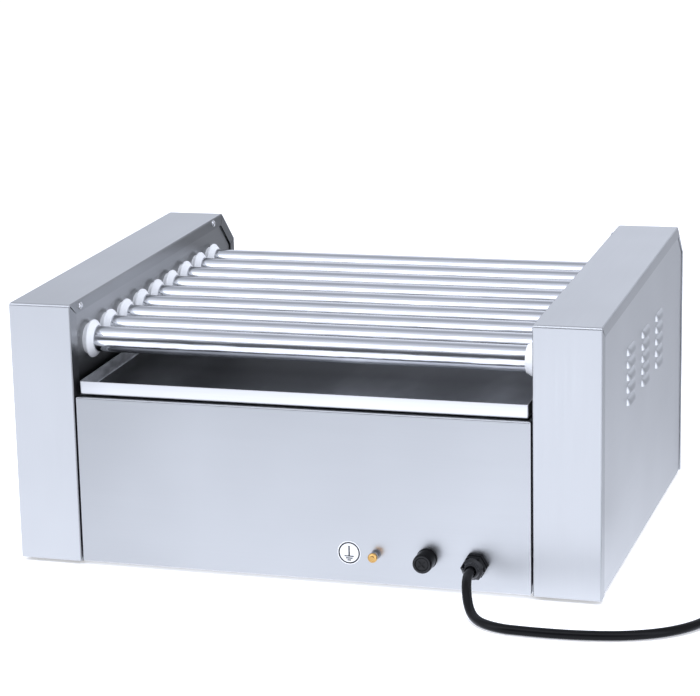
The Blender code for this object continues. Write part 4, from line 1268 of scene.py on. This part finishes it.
def make_earth_stud():
    """Brass screw with a domed head, a threaded shank, a hexagon nut and a washer."""
    matrix = facing((0, 1, 0), (STUD_X, FACE, FITTING_HEIGHT))
    bm = bmesh.new()
    turned(bm, [(0.0026, 0.0011), (0.0046, 0.0011), (0.0046, 0.0), (0.0026, 0.0)], 0.0002,
           matrix, True, 2, 40)
    prism(bm, filleted(circle(0.0040, count=6), 0.0004, steps=2),
          matrix @ Matrix.Translation((0, 0, 0.0011)), 0.0040, 0.0003)
    paint_new(bm, 0, 1)
    crest, root, thread_pitch = 0.0026, 0.0023, 0.0005
    shank = []
    for i in range(8):
        height = 0.0088 - thread_pitch * i
        shank += [(crest, height), (root, height - thread_pitch / 2)]
    lathe(bm, [*shank, (root, -0.0080), (0.0, -0.0080)], matrix, 32)
    turned(bm, [(0.0, 0.0130), (0.0024, 0.0130), (0.0044, 0.0116), (0.0047, 0.0098),
                (0.0042, 0.0086), (0.0, 0.0086)], [0.0, 0.0016, 0.0012, 0.0010, 0.0005, 0.0],
           matrix, steps=4, segments=40)
    finish_piece("earth_screw", bm, "cabinet", "brass", ["earth_stud"], extra=["zinc"])


def make_earth_sign():
    """White disc with the plain earth symbol: a ring, an upright and three bars."""
    low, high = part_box("earth_sign")
    matrix = facing((0, 1, 0), (SIGN_X, low.y, FITTING_HEIGHT))
    radius = (high.x - low.x) / 2
    thick = high.y - low.y
    bm = bmesh.new()
    turned(bm, [(0.0, thick), (radius, thick), (radius, 0.0), (0.0, 0.0)],
           [0.0, 0.00015, 0.0, 0.0], matrix, steps=2, segments=72)
    before = len(bm.faces)
    print_depth = 0.00006
    lift = matrix @ Matrix.Translation((0.0, 0.0, thick + print_depth / 2))
    ring = 0.92 * radius
    flat_plate(bm, [circle(ring), circle(ring - 0.0013)], lift, print_depth)
    low_y = low.y + thick
    for half_x, half_z, at in ((0.00070, 0.00510, 0.00170), (0.00460, 0.00055, -0.00320),
                               (0.00325, 0.00055, -0.00520), (0.00175, 0.00055, -0.00710)):
        block(bm, (SIGN_X - half_x, low_y, FITTING_HEIGHT + at - half_z),
              (SIGN_X + half_x, low_y + print_depth, FITTING_HEIGHT + at + half_z))
    paint_new(bm, before, 1)
    finish_piece("earth_disc", bm, "cabinet", "white", ["earth_sign"],
                 extra=["grey_mark"])


# ---------------------------------------------------------------- controls
def make_knob(side):
    """Fluted heat knob with a skirt and a white pointer line."""
    node = f"{side}_heat_knob"
    x, _, z = middle(node)
    matrix = facing((0, -1, 0), (x, FRONT, z))
    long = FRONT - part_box(node)[0].y
    bm = bmesh.new()
    turned(bm, [(0.0, 0.0042), (0.0190, 0.0036), (0.0225, 0.0012), (0.0225, GAP), (0.0030, GAP),
                (0.0030, -0.0180), (0.0, -0.0180)], [0.0, 0.0010, 0.0004, 0.0003, 0.0, 0.0, 0.0],
           matrix, steps=3, segments=96)
    turned(bm, [(0.0, long), (0.0155, long), (0.0172, long - 0.0030), (0.0180, 0.0034),
                (0.0, 0.0034)], [0.0, 0.0016, 0.0030, 0.0, 0.0], matrix, segments=144,
           waves=18, depth=0.045)
    before = len(bm.faces)
    eased_block(bm, (-0.0007, 0.0050, long - 0.0002), (0.0007, 0.0150, long), 0.00008, matrix)
    block(bm, (-0.0006, 0.0188, 0.0024), (0.0006, 0.0222, 0.0037), matrix)
    paint_new(bm, before, 1)
    finish_piece(f"{node}_grip", bm, node, "black", [node],
                 extra=["white_mark"])
    make_dial(side, x, z)


def make_dial(side, x, z):
    """Printed scale round a knob: ticks and numbers from 0 to 6."""
    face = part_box("control_panel")[0].y
    steps = 6
    ticks_per_step = 4
    tick_radius = 0.0248
    digit_radius = 0.0326
    bm = bmesh.new()

    def dial_angle(number):
        return math.radians(225 - 270 * number / steps)

    for i in range(steps * ticks_per_step + 1):
        long = 0.0018 if i % ticks_per_step else 0.0034
        spin = (facing((0, -1, 0), (x, face, z))
                @ Matrix.Rotation(math.pi - dial_angle(i / ticks_per_step), 4, "Z"))
        block(bm, (tick_radius, -0.0003, -0.00005), (tick_radius + long, 0.0003, 0.00008), spin)
    for number in range(steps + 1):
        text = bpy.data.curves.new("digit", "FONT")
        text.body = str(number)
        text.size = 0.0062
        text.align_x = "CENTER"
        text.align_y = "CENTER"
        text.extrude = 0.00004
        mesh = solid_of(text)
        angle = dial_angle(number)
        spot = Vector((x + digit_radius * math.cos(angle), face - 0.00004,
                       z + digit_radius * math.sin(angle)))
        mesh.transform(Matrix.Translation(spot) @ Matrix.Rotation(math.pi / 2, 4, "X"))
        bm.from_mesh(mesh)
        bpy.data.meshes.remove(mesh)
    finish_piece(f"{side}_dial_marks", bm, "cabinet", "grey_mark")


def make_switch(side):
    """Rocker switch with a printed bar above its pivot and a ring below."""
    dress(f"{side}_switch_bezel", "black", 0.0006)
    dress(f"{side}_switch_rocker", "red", 0.0007)
    x, _, z = middle(f"{side}_switch_rocker")
    half_face = 0.0112
    sink = 0.0036
    mark_height = 0.0058
    tilt = (Matrix.Translation((x, FRONT + 0.0030, z))
            @ Matrix.Rotation(math.radians(-8), 4, "X"))
    depth = -0.0012 - sink * mark_height / half_face - 0.00004
    bm = bmesh.new()
    for way in (1, -1):
        base = (tilt @ Matrix.Translation((0.0, depth, way * mark_height))
                @ Matrix.Rotation(way * math.atan2(sink, half_face), 4, "X"))
        if way > 0:
            block(bm, (-0.0003, -0.00006, -0.0020), (0.0003, 0.00010, 0.0020), base)
        else:
            flat_plate(bm, [circle(0.0020, count=32), circle(0.0015, count=32)],
                       base @ Matrix.Rotation(math.pi / 2, 4, "X"), 0.00016)
    finish_piece(f"{side}_rocker_marks", bm, f"{side}_rocker", "white_mark")


def make_panel_screws():
    """Countersunk screws near the corners of the control panel."""
    bm = bmesh.new()
    low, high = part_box("control_panel")
    for x in (low.x + 0.012, high.x - 0.012):
        for z in (low.z + 0.014, high.z - 0.014):
            cross_screw(bm, [(0.0, 0.0006), (0.0022, 0.0005), (0.0030, 0.0), (0.0030, -0.0004),
                             (0.0, -0.0004)], [0.0, 0.0008, 0.0002, 0.0, 0.0], 3,
                        facing((0, -1, 0), (x, low.y, z)), 0.0014, (0.0, 0.00064))
    finish_piece("control_panel_screws", bm, "cabinet", "screw",
                 extra=["recess_shade"])


# ---------------------------------------------------------------- build
make_camera()
make_cord(make_plug(), make_gland())
make_floor()
make_studio()
make_lights()
for side, sign in (("left", -1), ("right", 1)):
    make_wrap(side, sign)
    make_inner_panel(side, sign)
    make_outer_panel(side, sign)
    make_lip_screws(side, sign)
    for index in range(ROLLER_COUNT):
        make_bushing(side, sign, index)
    make_knob(side)
    make_switch(side)
    for end in ("front", "rear"):
        make_foot(end, side)
for index in range(ROLLER_COUNT):
    make_roller(index)
# The rear cover takes the rear copy of the sheet, with painted light and shade.
make_folded_panel("rear_cover", "rear_panel", -1, "rear",
                  [circle(0.0080, (GLAND_X, GLAND_HEIGHT), 32),
                   circle(0.0065, (FUSE_X, FITTING_HEIGHT), 32),
                   circle(0.0028, (STUD_X, FITTING_HEIGHT), 24)])
make_folded_panel("front_cover", "control_panel", 1, "stainless",
                  [switch_window("left"), switch_window("right"), shaft_hole("left"),
                   shaft_hole("right")])
make_tray()
make_fuse_holder()
make_earth_stud()
make_earth_sign()
make_panel_screws()
for node, material, rounding in (
        ("base_pan", "galvanised", 0.0003), ("deck_plate", "galvanised", 0.0003),
        ("gear_motor", "dark_steel", 0.0008), ("motor_sprocket", "dark_steel", 0.0002),
        ("drive_chain", "dark_steel", 0.0005)):
    dress(node, material, rounding)
steady_shading()
